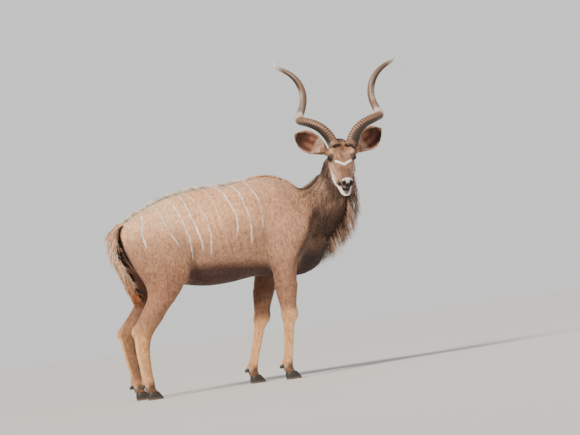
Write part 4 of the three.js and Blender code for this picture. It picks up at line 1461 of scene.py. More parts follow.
class Wire:
    """A node's output that can be reckoned with like a number or a vector."""

    def __init__(self, make: "NodeTreeMaker", socket: bpy.types.NodeSocket, many: bool = False) -> None:
        """Keep the socket, its maker and whether it carries a vector or a colour."""
        self.make, self.socket, self.many = make, socket, many

    def _with(self, operation: str, other: object) -> "Wire":
        """Join this wire and another value in a math node."""
        many = self.many or isinstance(other, tuple) or getattr(other, "many", False)
        return (self.make.vector if many else self.make.math)(operation, self, other)

    def __add__(self, other: object) -> "Wire":
        """The sum of both."""
        return self._with("ADD", other)

    def __sub__(self, other: object) -> "Wire":
        """This one less the other."""
        return self._with("SUBTRACT", other)

    def __mul__(self, other: object) -> "Wire":
        """The product of both; a plain number scales a vector."""
        scales = self.many and not isinstance(other, tuple) and not getattr(other, "many", False)
        return self._with("SCALE" if scales else "MULTIPLY", other)

    def __truediv__(self, other: object) -> "Wire":
        """This one divided by the other."""
        return self._with("DIVIDE", other)

    def __pow__(self, power: float) -> "Wire":
        """This number to a power."""
        return self._with("POWER", power)

    def size(self) -> "Wire":
        """The number without its sign."""
        return self.make.math("ABSOLUTE", self)

    def spread(self, low: float, high: float, to_low: float = 0, to_high: float = 1) -> "Wire":
        """Map the number smoothly from one range to another."""
        inputs = {0: self, 1: low, 2: high, 3: to_low, 4: to_high}
        node = self.make.node("ShaderNodeMapRange", inputs, interpolation_type="SMOOTHSTEP")
        return Wire(self.make, node.outputs[0])


class NodeTreeMaker:
    """Short hands for building a node tree of any kind."""

    def __init__(self, tree: bpy.types.NodeTree) -> None:
        """Keep the tree."""
        self.tree = tree

    def node(self, kind: str, inputs: Optional[Dict] = None, **settings: object) -> bpy.types.Node:
        """Add a node.

        Args:
            kind: The node's type name.
            inputs: Values or wires for its inputs, by name or number.
            settings: Its own properties.

        Returns:
            The node.
        """
        node = self.tree.nodes.new(kind)
        for key, value in settings.items():
            setattr(node, key, value)
        for key, value in (inputs or {}).items():
            self.feed(node.inputs[key], value)
        return node

    def feed(self, socket: bpy.types.NodeSocket, value: object) -> None:
        """Link a wire into an input, or set its value."""
        value = value.socket if isinstance(value, Wire) else value
        if isinstance(value, bpy.types.NodeSocket):
            self.tree.links.new(value, socket)
        else:
            socket.default_value = value

    def given(self) -> Dict[str, Wire]:
        """The inputs of a node group, by name."""
        outputs = self.node("NodeGroupInput").outputs
        return {socket.name: Wire(self, socket, socket.type in ("VECTOR", "RGBA")) for socket in outputs}

    def math(self, operation: str, *values: object) -> Wire:
        """A number worked out from others."""
        node = self.node("ShaderNodeMath", dict(enumerate(values)), operation=operation)
        return Wire(self, node.outputs[0])

    def vector(self, operation: str, *values: object) -> Wire:
        """A vector, or a number where the operation gives one, worked out from others."""
        keys = (0, "Scale") if operation == "SCALE" else (0, 1)
        node = self.node("ShaderNodeVectorMath", dict(zip(keys, values)), operation=operation)
        number = operation in ("DOT_PRODUCT", "LENGTH")
        return Wire(self, node.outputs["Value" if number else "Vector"], not number)

    def parts(self, vector: object) -> List[Wire]:
        """The three numbers of a vector."""
        return [Wire(self, socket) for socket in self.node("ShaderNodeSeparateXYZ", {0: vector}).outputs]

    def blend(self, share: object, one: object, two: object) -> Wire:
        """Mix two colours."""
        node = self.node("ShaderNodeMix", {"Factor": share}, data_type="RGBA")
        sockets = [s for s in node.inputs if s.type == "RGBA"]
        for socket, value in zip(sockets, (one, two)):
            self.feed(socket, (*value, 1) if isinstance(value, tuple) else value)
        return Wire(self, next(s for s in node.outputs if s.type == "RGBA"), True)

    def noise(self, place: Wire, scale: float, detail: float = 3, rough: float = 0.5) -> Wire:
        """Noise between 0 and 1 at a place."""
        inputs = {"Vector": place, "Scale": scale, "Detail": detail, "Roughness": rough}
        return Wire(self, self.node("ShaderNodeTexNoise", inputs).outputs[0])

    def attribute(self, name: str, kind: str = "Fac") -> Wire:
        """A stored attribute, as a number, a vector or a colour."""
        outputs = self.node("ShaderNodeAttribute", attribute_name=name).outputs
        return Wire(self, outputs[kind], kind != "Fac")


def linear(red: int, green: int, blue: int) -> Colour:
    """Turn a colour of 0 to 255 into the linear values that shaders take."""
    return tuple(
        (c / 255 / 12.92) if c / 255 <= 0.04045 else ((c / 255 + 0.055) / 1.055) ** 2.4
        for c in (red, green, blue)
    )


class Finish:
    """A finish with its own material."""

    name = "finish"
    slot = "coat"

    def __init__(self) -> None:
        """Make the material with its shader, and dress it."""
        self.material = bpy.data.materials.new(self.name)
        self.material.use_nodes = True
        tree = self.material.node_tree
        tree.nodes.clear()
        self.make = NodeTreeMaker(tree)
        self.shader = self.make.node("ShaderNodeBsdfPrincipled")
        self.make.node("ShaderNodeOutputMaterial", {0: self.shader.outputs[0]})
        self.place = Wire(self.make, self.make.node("ShaderNodeTexCoord").outputs["Object"], True)
        self.dress(self.make)

    def dress(self, make: NodeTreeMaker) -> None:
        """Build the finish's nodes."""

    def wear(self, colour: Wire, roughness: Wire, levels: Optional[Dict[str, float]] = None) -> None:
        """Feed the shader its colour, its roughness and any plain levels."""
        for name, value in {"Base Color": colour, "Roughness": roughness, **(levels or {})}.items():
            self.make.feed(self.shader.inputs[name], value)

    def bump(self, height: Wire, distance: float, strength: float = 0.6) -> None:
        """Feed a height into the shader's normal."""
        inputs = {"Strength": strength, "Distance": distance, "Height": height}
        self.make.feed(self.shader.inputs["Normal"], self.make.node("ShaderNodeBump", inputs).outputs[0])


class HornFinish(Finish):
    """Brown horn, ridged and tan up to its first bend, ivory at the bend and the tip, with painted shade on
    its downward faces and in the grooves of its rings.
    """

    name = "ringed horn"
    slot = "horn"
    bend = 0.352

    def dress(self, make: NodeTreeMaker) -> None:
        """Build the finish's nodes."""
        place = make.attribute("horn_place", "Vector")
        share, keel, _ = make.parts(place)
        streaks = make.noise(place * (3.0, 6.0, 6.0), 4.0, 5, 0.65)
        mottle = make.noise(self.place, 38, 4, 0.6)
        rings = make.math("SINE", share * (math.tau * HornForm.ring_count) + streaks * 2.6)
        ringed = share.spread(0.37, 0.29)
        brown = make.blend(streaks, linear(82, 62, 49), linear(146, 112, 88))
        tan = make.blend(streaks, linear(122, 84, 62), linear(188, 146, 114))
        # Painted shade: dark lines in the grooves between the rings.
        groove = rings.spread(0.3, -0.5) * ringed
        colour = make.blend(groove * 0.92, make.blend(ringed, brown, tan), linear(50, 32, 24))
        keen = keel.spread(0.55, 1.0) * share.spread(0.1, 0.4, 0.05, 0.28)
        colour = make.blend(keen * mottle.spread(0.3, 0.62), colour, linear(206, 192, 172))
        # Painted shade: near-black on the faces that point downwards, fading out towards the tip.
        under = make.attribute("under") * share.spread(0.9, 0.7)
        colour = make.blend(under * 0.95, colour, linear(38, 27, 22))
        away = (share + mottle.spread(0.2, 0.8, -0.02, 0.02) - self.bend).size()
        worn = away.spread(0.078, 0.02) * streaks.spread(0.3, 0.6, 0.5, 1.0)
        colour = make.blend(worn, colour, linear(226, 206, 192))
        tip = (share + mottle * 0.08).spread(0.80, 0.97)
        self.wear(make.blend(tip, colour, linear(236, 226, 210)), mottle.spread(0, 1, 0.3, 0.5))
        self.bump(streaks + rings * ringed * 0.4, 0.0012)


class EyeFinish(Finish):
    """A wet, dark brown eye with a level pupil."""

    name = "wet eye"
    slot = "eye"
    pupil_length = 0.42
    pupil_height = 0.22

    def dress(self, make: NodeTreeMaker) -> None:
        """Build the finish's nodes."""
        place = make.attribute("eye_place", "Vector")
        along, across, _ = make.parts(place)
        oval = (along / self.pupil_length).size() ** 2.6 + (across / self.pupil_height).size() ** 2.0
        pupil = make.math("SQRT", oval)
        iris = make.vector("LENGTH", place * (1, 1, 0))
        threads = make.noise(place * (9, 9, 9), 3, 5, 0.6)
        brown = make.blend(threads, linear(12, 7, 5), linear(38, 22, 13))
        rim = make.blend(iris.spread(0.6, 0.72), brown, linear(14, 9, 8))
        white = make.blend(iris.spread(0.80, 0.9), rim, linear(52, 38, 32))
        self.wear(
            make.blend(pupil.spread(0.9, 1.12), linear(3, 3, 4), white), iris.spread(0.7, 0.9, 0.04, 0.12),
            {"Specular IOR Level": 0.3, "Coat Weight": 0.5, "Coat Roughness": 0.02},
        )


class LidFinish(Finish):
    """Dark bare skin at the edge of the lids, dark short hair outside it."""

    name = "dark lid"
    slot = "face"

    def dress(self, make: NodeTreeMaker) -> None:
        """Build the finish's nodes."""
        pores = make.noise(self.place, 420, 4, 0.6)
        bare = make.blend(pores, linear(16, 11, 10), linear(36, 25, 21))
        haired = make.blend(pores, linear(52, 37, 30), linear(86, 62, 49))
        share = make.attribute("rim").spread(0.42, 0.95)
        self.wear(make.blend(share, bare, haired), pores.spread(0, 1, 0.35, 0.6))
        self.bump(pores, 0.0006)


class HoofFinish(Finish):
    """Dark hoof with growth rings, dusty and worn at the sole."""

    name = "dark hoof"
    slot = "hoof"

    def dress(self, make: NodeTreeMaker) -> None:
        """Build the finish's nodes."""
        height = make.parts(self.place)[2]
        grain = make.noise(self.place * (150, 150, 18), 1.0, 4, 0.6)
        rings = make.noise(self.place * (6, 6, 420), 1.0, 2, 0.5)
        dust = height.spread(0.02, 0.0) * make.noise(self.place, 90, 4, 0.6)
        dark = make.blend(grain, linear(28, 24, 22), linear(66, 56, 48))
        self.wear(make.blend(dust, dark, linear(136, 116, 98)), grain.spread(0, 1, 0.35, 0.62))
        self.bump(grain + rings, 0.0008)


class MouthFinish(Finish):
    """Wet, dark lining and tongue of the open mouth."""

    name = "wet mouth"
    slot = "face"

    def dress(self, make: NodeTreeMaker) -> None:
        """Build the finish's nodes."""
        mottle = make.noise(self.place, 160, 4, 0.6)
        dark = make.blend(mottle, linear(26, 14, 13), linear(52, 26, 24))
        tongue = make.blend(mottle, linear(92, 64, 56), linear(130, 98, 86))
        self.wear(make.blend(make.attribute("pink"), dark, tongue), mottle.spread(0, 1, 0.25, 0.45))
        self.bump(mottle, 0.0008, 0.5)


class FloorFinish(Finish):
    """Plain pale studio floor."""

    name = "pale floor"

    def dress(self, make: NodeTreeMaker) -> None:
        """Build the finish's nodes."""
        cloud = make.noise(self.place, 0.7, 3, 0.5)
        self.wear(make.blend(cloud, (0.70, 0.69, 0.67), (0.74, 0.73, 0.71)), cloud.spread(0, 1, 0.8, 0.9))


@dataclass(frozen=True)
class Studio:
    """Camera, floor and soft light."""

    target: Triple = (0.80, 0.0, 1.05)
    back: Triple = (-0.24169, -0.96937, -0.04362)
    distance: float = 14.0
    lens: float = 127.74
    sensor: float = 36.0
    roll: float = 8.0
    focal_pixels: float = 2058.0
    aim_pixels: Tuple[float, float] = (49.29, 12.13)
    clip: float = 200.0
    floor_rings: Tuple[float, ...] = (2.0, 6.0, 15.0, 40.0)
    floor_sides: int = 64
    sun_way: Triple = (0.60, 0.52, -0.62)
    sun_strength: float = 4.9
    sun_angle: float = 14.0
    sun_colour: Colour = (1.0, 0.92, 0.81)
    fill_place: Triple = (5.5, -6.0, 3.0)
    fill_size: float = 5.0
    fill_power: float = 140.0
    fill_colour: Colour = (0.95, 0.97, 1.0)
    lit_colour: Colour = (0.92, 0.92, 0.92)
    lit_strength: float = 0.45
    seen_colour: Colour = (0.92, 0.92, 0.91)
    seen_strength: float = 1.0

    def camera(self) -> None:
        """Stand the camera at the photo's viewing angle."""
        back = unit(np.array(self.back))
        right = unit(np.cross((0.0, 0.0, 1.0), back))
        up = np.cross(back, right)
        turn = math.radians(self.roll)
        rolled_right = right * math.cos(turn) - up * math.sin(turn)
        rolled_up = right * math.sin(turn) + up * math.cos(turn)
        across, rise = self.aim_pixels
        aim = unit(-back + rolled_right * across / self.focal_pixels + rolled_up * rise / self.focal_pixels)
        side = unit(rolled_right - aim * float(rolled_right @ aim))
        top = np.cross(side, aim)
        place = np.array(self.target) + back * self.distance + SHIFT
        data = bpy.data.cameras.new("camera")
        data.lens = self.lens
        data.sensor_width = self.sensor
        data.clip_end = self.clip
        camera = linked("camera", data)
        rows = np.stack((side, top, -aim, place), axis=1).tolist()
        camera.matrix_world = Matrix(rows + [[0, 0, 0, 1]])
        bpy.context.scene.camera = camera

    def floor(self) -> None:
        """Lay a wide, pale floor."""
        points: List[Triple] = [(0, 0, 0)]
        faces: List[Tuple[int, ...]] = []
        sides = self.floor_sides
        for ring, radius in enumerate(self.floor_rings):
            points += [(radius * math.cos(turn), radius * math.sin(turn), 0) for turn in angles_round(sides)]
            first = 1 + ring * sides
            for k in range(sides):
                after = (k + 1) % sides
                if ring == 0:
                    faces.append((0, first + k, first + after))
                else:
                    faces.append((first - sides + k, first + k, first + after, first - sides + after))
        mesh = bpy.data.meshes.new("floor")
        mesh.from_pydata(points, [], faces)
        floor = linked("floor", mesh)
        mesh.materials.append(FloorFinish().material)

    def lights(self) -> None:
        """Hang the sun and one soft square light that faces the animal."""
        sun = bpy.data.lights.new("key", "SUN")
        sun.energy, sun.angle, sun.color = self.sun_strength, math.radians(self.sun_angle), self.sun_colour
        fill = bpy.data.lights.new("fill", "AREA")
        fill.size, fill.energy, fill.color = self.fill_size, self.fill_power, self.fill_colour
        key_lamp, fill_lamp = linked("key", sun), linked("fill", fill)
        fill_lamp.location = self.fill_place
        to_animal = Vector((0.0, 0.0, 1.0)) - Vector(self.fill_place)
        for lamp, way in ((key_lamp, Vector(self.sun_way)), (fill_lamp, to_animal)):
            lamp.rotation_euler = way.to_track_quat("-Z", "Y").to_euler()

    def build(self) -> None:
        """Build the camera, the floor, the lights and a pale surround."""
        self.camera()
        self.floor()
        self.lights()
        surround = bpy.data.worlds.new("surround")
        surround.use_nodes = True
        make = NodeTreeMaker(surround.node_tree)
        surround.node_tree.nodes.clear()
        lit, seen = (
            make.node("ShaderNodeBackground", {"Color": (*colour, 1), "Strength": strength})
            for colour, strength in (
                (self.lit_colour, self.lit_strength), (self.seen_colour, self.seen_strength),
            )
        )
        direct = make.node("ShaderNodeLightPath").outputs["Is Camera Ray"]
        both = make.node("ShaderNodeMixShader", {0: direct, 1: lit.outputs[0], 2: seen.outputs[0]})
        make.node("ShaderNodeOutputWorld", {"Surface": both.outputs[0]})
        bpy.context.scene.world = surround


@dataclass(frozen=True)
class Stripe:
    """One thin pale stripe down the flank: where it runs at mid height, how it leans and bends."""

    x: float
    lean: float
    bend: float
    low: float
    top: float
    strength: float


STRIPE_HEIGHT = 1.12
STRIPE_HALF = 0.0052
STRIPES = tuple(Stripe(*row) for row in (
    (0.093, 0.09, 0.5, 1.00, 1.23, 0.95),
    (0.255, -0.383, 0.554, 0.98, 1.29, 0.80),
    (0.383, -0.280, -0.738, 0.89, 1.33, 0.90),
    (0.453, -0.239, -0.331, 0.94, 1.37, 1.00),
    (0.537, -0.222, -1.075, 0.91, 1.37, 0.60),
    (0.616, -0.020, -0.860, 1.08, 1.37, 0.55),
    (0.733, -0.026, -1.333, 1.01, 1.40, 1.00),
    (0.827, -0.085, -0.862, 0.95, 1.40, 0.90),
    (0.920, 0.016, -1.186, 1.02, 1.40, 0.60),
    (0.026, 0.0, 0.0, 1.064, 1.082, 0.80),
))


class ShaderGroup:
    """A node group that several finishes share, built once."""

    name = "group"
    inputs: Tuple[Tuple[str, str], ...] = ()
    output = ("Value", "Float")

    def weave(self, make: NodeTreeMaker, given: Dict[str, Wire]) -> Wire:
        """Build the nodes between the group's inputs and its output."""
        raise NotImplementedError

    def tree(self) -> bpy.types.NodeTree:
        """The group's tree, built when it is first asked for."""
        made = bpy.data.node_groups.get(self.name)
        if made:
            return made
        tree = bpy.data.node_groups.new(self.name, "ShaderNodeTree")
        for name, kind in self.inputs:
            tree.interface.new_socket(name, in_out="INPUT", socket_type=f"NodeSocket{kind}")
        name, kind = self.output
        tree.interface.new_socket(name, in_out="OUTPUT", socket_type=f"NodeSocket{kind}")
        make = NodeTreeMaker(tree)
        make.node("NodeGroupOutput", {0: self.weave(make, make.given())})
        return tree

    def put(self, finish: Finish, **values: object) -> Wire:
        """Place the group in a finish.

        Args:
            finish: The finish whose material takes it.
            values: Its inputs by name; Place is the finish's own.

        Returns:
            Its output.
        """
        inputs = {"Place": finish.place, **values}
        node = finish.make.node("ShaderNodeGroup", inputs, node_tree=self.tree())
        return Wire(finish.make, node.outputs[0], self.output[1] != "Float")


class CoatShades(ShaderGroup):
    """The colour of every hair and of the skin under it."""

    name = "coat shades"
    inputs = (
        ("Place", "Vector"), ("Tone", "Color"), ("Tip", "Color"),
        ("Strand", "Float"), ("Shade", "Float"), ("Stripes", "Float"),
    )
    output = ("Color", "Color")

    def weave(self, make: NodeTreeMaker, given: Dict[str, Wire]) -> Wire:
        """Fade from tone to tip, lay the stripes on it and make it lighter and darker by place."""
        place = given["Place"] - tuple(float(v) for v in SHIFT)
        colour = make.blend(given["Strand"] ** 1.5, given["Tone"], given["Tip"])
        colour = make.blend(self._stripes(make, place) * given["Stripes"], colour, linear(244, 236, 226))
        clump = make.noise(place * (62.0, 62.0, 26.0), 1.0, 3, 0.65)
        speck = make.noise(place * (150.0, 150.0, 70.0), 1.0, 2, 0.6)
        broad = make.noise(place, 5.5, 2, 0.5)
        light = given["Shade"].spread(0, 1, -0.26, 0.26) + clump.spread(0.25, 0.75, -0.26, 0.26)
        light = light + speck.spread(0.3, 0.7, -0.14, 0.14) + broad.spread(0.25, 0.75, 0.93, 1.07)
        return colour * light

    def _stripes(self, make: NodeTreeMaker, place: Wire) -> Wire:
        """The mask of all the stripes.

        Args:
            make: The group's maker.
            place: Places with the tables' own origin, in metres.

        Returns:
            1 on a stripe and 0 off it.
        """
        x, y, z = make.parts(place)
        wander = make.noise(place, 9.0, 2, 0.5).spread(0.2, 0.8, -0.007, 0.007)
        patchy = make.noise(place, 26.0, 3, 0.6).spread(0.32, 0.5, 0.45, 1.0)
        height = z - STRIPE_HEIGHT
        x = x + wander + y.spread(-0.02, 0.02, 0.0, 0.016)
        total: object = 0.0
        for stripe in STRIPES:
            middle = (height * stripe.bend + stripe.lean) * height + stripe.x
            line = (x - middle).size().spread(STRIPE_HALF * 1.35, STRIPE_HALF * 0.55)
            below, above = stripe.low, stripe.top
            ends = z.spread(below - 0.02, below + 0.03) * z.spread(above + 0.02, above - 0.02)
            total = make.math("MAXIMUM", line * ends * stripe.strength, total)
        return total * patchy

    def colour(self, finish: Finish, strand: object, shade: Wire, stripes: float) -> Wire:
        """Place the group in a finish.

        Args:
            finish: The finish whose material takes it.
            strand: How far along a hair the surface is.
            shade: The hair's own lightness.
            stripes: How strongly the stripes show.

        Returns:
            The colour.
        """
        tone, tip = (finish.make.attribute(name, "Color") for name in ("tone", "tip"))
        return self.put(finish, Tone=tone, Tip=tip, Strand=strand, Shade=shade, Stripes=stripes)


class HairGrain(ShaderGroup):
    """Fine hair relief that runs along the lie of the coat."""

    name = "hair grain"
    inputs = (("Place", "Vector"), ("Lie", "Vector"), ("Fineness", "Float"))
    output = ("Height", "Float")

    def weave(self, make: NodeTreeMaker, given: Dict[str, Wire]) -> Wire:
        """Draw noise out along the lie, in single hairs and in small locks."""
        place, lie = given["Place"], given["Lie"]
        lengthwise = lie * make.vector("DOT_PRODUCT", place, lie)
        drawn = (place - lengthwise + lengthwise * 0.12) * given["Fineness"]
        return make.noise(drawn, 1.0, 4, 0.65) + make.noise(drawn * 0.22, 1.0, 2, 0.5) * 0.6


class SkinFinish(Finish):
    """The short coat close to the skin, with its relief and stripes."""

    name = "close coat"
    slot = "coat"

    def dress(self, make: NodeTreeMaker) -> None:
        """Build the finish's nodes."""
        grain = HairGrain().put(self, Lie=make.attribute("lie", "Vector"), Fineness=520.0)
        colour = CoatShades().colour(self, 0.25, grain.spread(0.4, 1.2, 0.05, 0.95), 0.95)
        levels = {"Sheen Weight": 0.15, "Specular IOR Level": 0.25}
        self.wear(colour, grain.spread(0.4, 1.2, 0.85, 0.65), levels)
        self.bump(grain, 0.0022, 0.75)


class HairFinish(Finish):
    """Single tufts and locks, each a little lighter or darker than its neighbours."""

    name = "hair"
    stripes = 1.0

    def dress(self, make: NodeTreeMaker) -> None:
        """Build the finish's nodes."""
        colour = CoatShades().colour(self, make.attribute("strand"), make.attribute("shade"), self.stripes)
        streak = make.noise(self.place * (260.0, 260.0, 90.0), 1.0, 2, 0.5)
        self.wear(colour, streak.spread(0.2, 0.8, 0.5, 0.72), {"Specular IOR Level": 0.3})


class LongHairFinish(HairFinish):
    """Long hair of the throat, nape, back and tail."""

    name = "long hair"
    stripes = 0.0


class StrandTree:
    """The node trees that lay tufts on a skin, or hang locks from given roots."""

    numbers = (
        ("Density", 1.0), ("Half Width", 0.002), ("Thickness", 0.0006), ("Length Scale", 1.0),
        ("Lift", 0.15), ("Settle", 0.1), ("Swing", 0.35), ("Sink", 0.001),
    )
    sides = 3

    def tree(self, on_skin: bool, segments: int) -> bpy.types.NodeTree:
        """Build one tree.

        Args:
            on_skin: Whether tufts are spread over a skin, or hang from given roots.
            segments: Bends in a hair.

        Returns:
            The tree.
        """
        name = f"{'laid tufts' if on_skin else 'hung locks'} {segments}"
        made = bpy.data.node_groups.get(name)
        if made:
            return made
        tree = bpy.data.node_groups.new(name, "GeometryNodeTree")
        face = tree.interface
        face.new_socket("Geometry", in_out="INPUT", socket_type="NodeSocketGeometry")
        for socket, value in self.numbers:
            face.new_socket(socket, in_out="INPUT", socket_type="NodeSocketFloat").default_value = value
        face.new_socket("Seed", in_out="INPUT", socket_type="NodeSocketInt")
        face.new_socket("Finish", in_out="INPUT", socket_type="NodeSocketMaterial")
        face.new_socket("Geometry", in_out="OUTPUT", socket_type="NodeSocketGeometry")
        make = NodeTreeMaker(tree)
        given = make.given()
        points = self._spread(make, given) if on_skin else given["Geometry"]
        smooth = make.node("GeometryNodeSetShadeSmooth", {"Geometry": self._hairs(make, points, segments)})
        inputs = {"Geometry": smooth.outputs[0], "Material": given["Finish"]}
        make.node("NodeGroupOutput", {0: make.node("GeometryNodeSetMaterial", inputs).outputs[0]})
        return tree

    def _named(self, make: NodeTreeMaker, name: str, kind: str = "FLOAT_VECTOR") -> Wire:
        """A stored attribute."""
        node = make.node("GeometryNodeInputNamedAttribute", {"Name": name}, data_type=kind)
        return Wire(make, node.outputs[0], kind == "FLOAT_VECTOR")

    def _store(self, make: NodeTreeMaker, shape: object, name: str, value: object,
               kind: str = "FLOAT_VECTOR") -> bpy.types.NodeSocket:
        """Store an attribute on points."""
        inputs = {"Geometry": shape, "Name": name, "Value": value}
        return make.node("GeometryNodeStoreNamedAttribute", inputs, data_type=kind, domain="POINT").outputs[0]

    def _random(self, make: NodeTreeMaker, low: float, high: float, seed: int) -> Wire:
        """A random number for each point."""
        node = make.node("FunctionNodeRandomValue", {"Seed": seed}, data_type="FLOAT")
        floats = [s for s in node.inputs if s.type == "VALUE" and s.enabled]
        floats[0].default_value, floats[1].default_value = low, high
        return Wire(make, next(s for s in node.outputs if s.enabled))

    def _spread(self, make: NodeTreeMaker, given: Dict[str, Wire]) -> bpy.types.NodeSocket:
        """Spread roots over the skin and give each its direction and size.

        Args:
            make: The tree's maker.
            given: The tree's inputs.

        Returns:
            The points with their attributes.
        """
        density = self._named(make, "density", "FLOAT") * given["Density"]
        inputs = {"Mesh": given["Geometry"], "Density": density, "Seed": given["Seed"]}
        found = make.node("GeometryNodeDistributePointsOnFaces", inputs, distribute_method="RANDOM").outputs
        points = self._store(make, found["Points"], "out", found["Normal"])
        out, lie = self._named(make, "out"), self._named(make, "lie")
        flat = make.vector("NORMALIZE", lie - out * make.vector("DOT_PRODUCT", lie, out))
        swing = self._random(make, -1, 1, 11) * given["Swing"]
        turn = make.node("ShaderNodeVectorRotate", {"Vector": flat, "Axis": out, "Angle": swing})
        turned = Wire(make, turn.outputs[0], True)
        raised = self._random(make, 0.6, 1.4, 12) * given["Lift"] * self._named(make, "raise", "FLOAT")
        length = self._named(make, "length", "FLOAT") * given["Length Scale"]
        length = length * self._random(make, 0.7, 1.15, 13)
        wide = self._random(make, 0.75, 1.25, 14) * given["Half Width"] * self._named(make, "width", "FLOAT")
        place = Wire(make, make.node("GeometryNodeInputPosition").outputs[0], True)
        values = {
            "way": make.vector("NORMALIZE", turned + out * raised),
            "fall": make.vector("NORMALIZE", turned + out * (given["Settle"] * -1.0)),
            "side": make.vector("CROSS_PRODUCT", out, turned),
            "size": make.node("ShaderNodeCombineXYZ", {0: length, 1: wide, 2: given["Thickness"]}).outputs[0],
            "root": place - out * given["Sink"],
        }
        for name, value in values.items():
            points = self._store(make, points, name, value)
        return self._store(make, points, "shade", self._random(make, 0, 1, 15), "FLOAT")

    def _hairs(self, make: NodeTreeMaker, points: object, segments: int) -> bpy.types.NodeSocket:
        """Set a straight hair on each root, make the hairs real and bend each its own way.

        Args:
            make: The tree's maker.
            points: The roots.
            segments: Bends in a hair.

        Returns:
            The bent hairs.
        """
        cone = make.node("GeometryNodeMeshCone", {
            "Vertices": self.sides, "Side Segments": segments,
            "Radius Top": 0.0, "Radius Bottom": 1.0, "Depth": 1.0,
        }, fill_type="NGON").outputs["Mesh"]
        cone = self._store(make, cone, "local", make.node("GeometryNodeInputPosition").outputs[0])
        hairs = make.node("GeometryNodeInstanceOnPoints", {"Points": points, "Instance": cone}).outputs[0]
        hairs = make.node("GeometryNodeRealizeInstances", {"Geometry": hairs}).outputs[0]
        right, ahead, share = make.parts(self._named(make, "local"))
        length, wide, thick = make.parts(self._named(make, "size"))
        way, side = self._named(make, "way"), self._named(make, "side")
        half_square = share ** 2.0 * 0.5
        taper = share + 1.0
        bent = self._named(make, "root") + way * ((share - half_square) * length)
        bent = bent + self._named(make, "fall") * (half_square * length)
        bent = bent + side * (right * taper * wide)
        bent = bent + make.vector("CROSS_PRODUCT", side, way) * (ahead * taper * thick)
        moved = make.node("GeometryNodeSetPosition", {"Geometry": hairs, "Position": bent}).outputs[0]
        return self._store(make, moved, "strand", share, "FLOAT")


def grow_hair(thing: bpy.types.Object, tree: bpy.types.NodeTree, finish: Finish,
              values: Dict[str, float], seed: int) -> bpy.types.Mesh:
    """Run a strand tree on an object and keep its result as a plain mesh.

    Args:
        thing: The object that carries the roots; it takes the result.
        tree: The tree.
        finish: The hair's finish.
        values: The tree's inputs by name.
        seed: The seed of its randomness.

    Returns:
        The mesh.
    """
    laid = thing.modifiers.new("hair", "NODES")
    laid.node_group = tree
    for socket in tree.interface.items_tree:
        if socket.in_out != "INPUT" or socket.name == "Geometry":
            continue
        if socket.name == "Seed":
            laid[socket.identifier] = seed
        elif socket.name == "Finish":
            laid[socket.identifier] = finish.material
        elif socket.name in values:
            laid[socket.identifier] = float(values[socket.name])
    thing.update_tag()
    mesh = applied(thing)
    mesh.materials.clear()
    mesh.materials.append(finish.material)
    return mesh


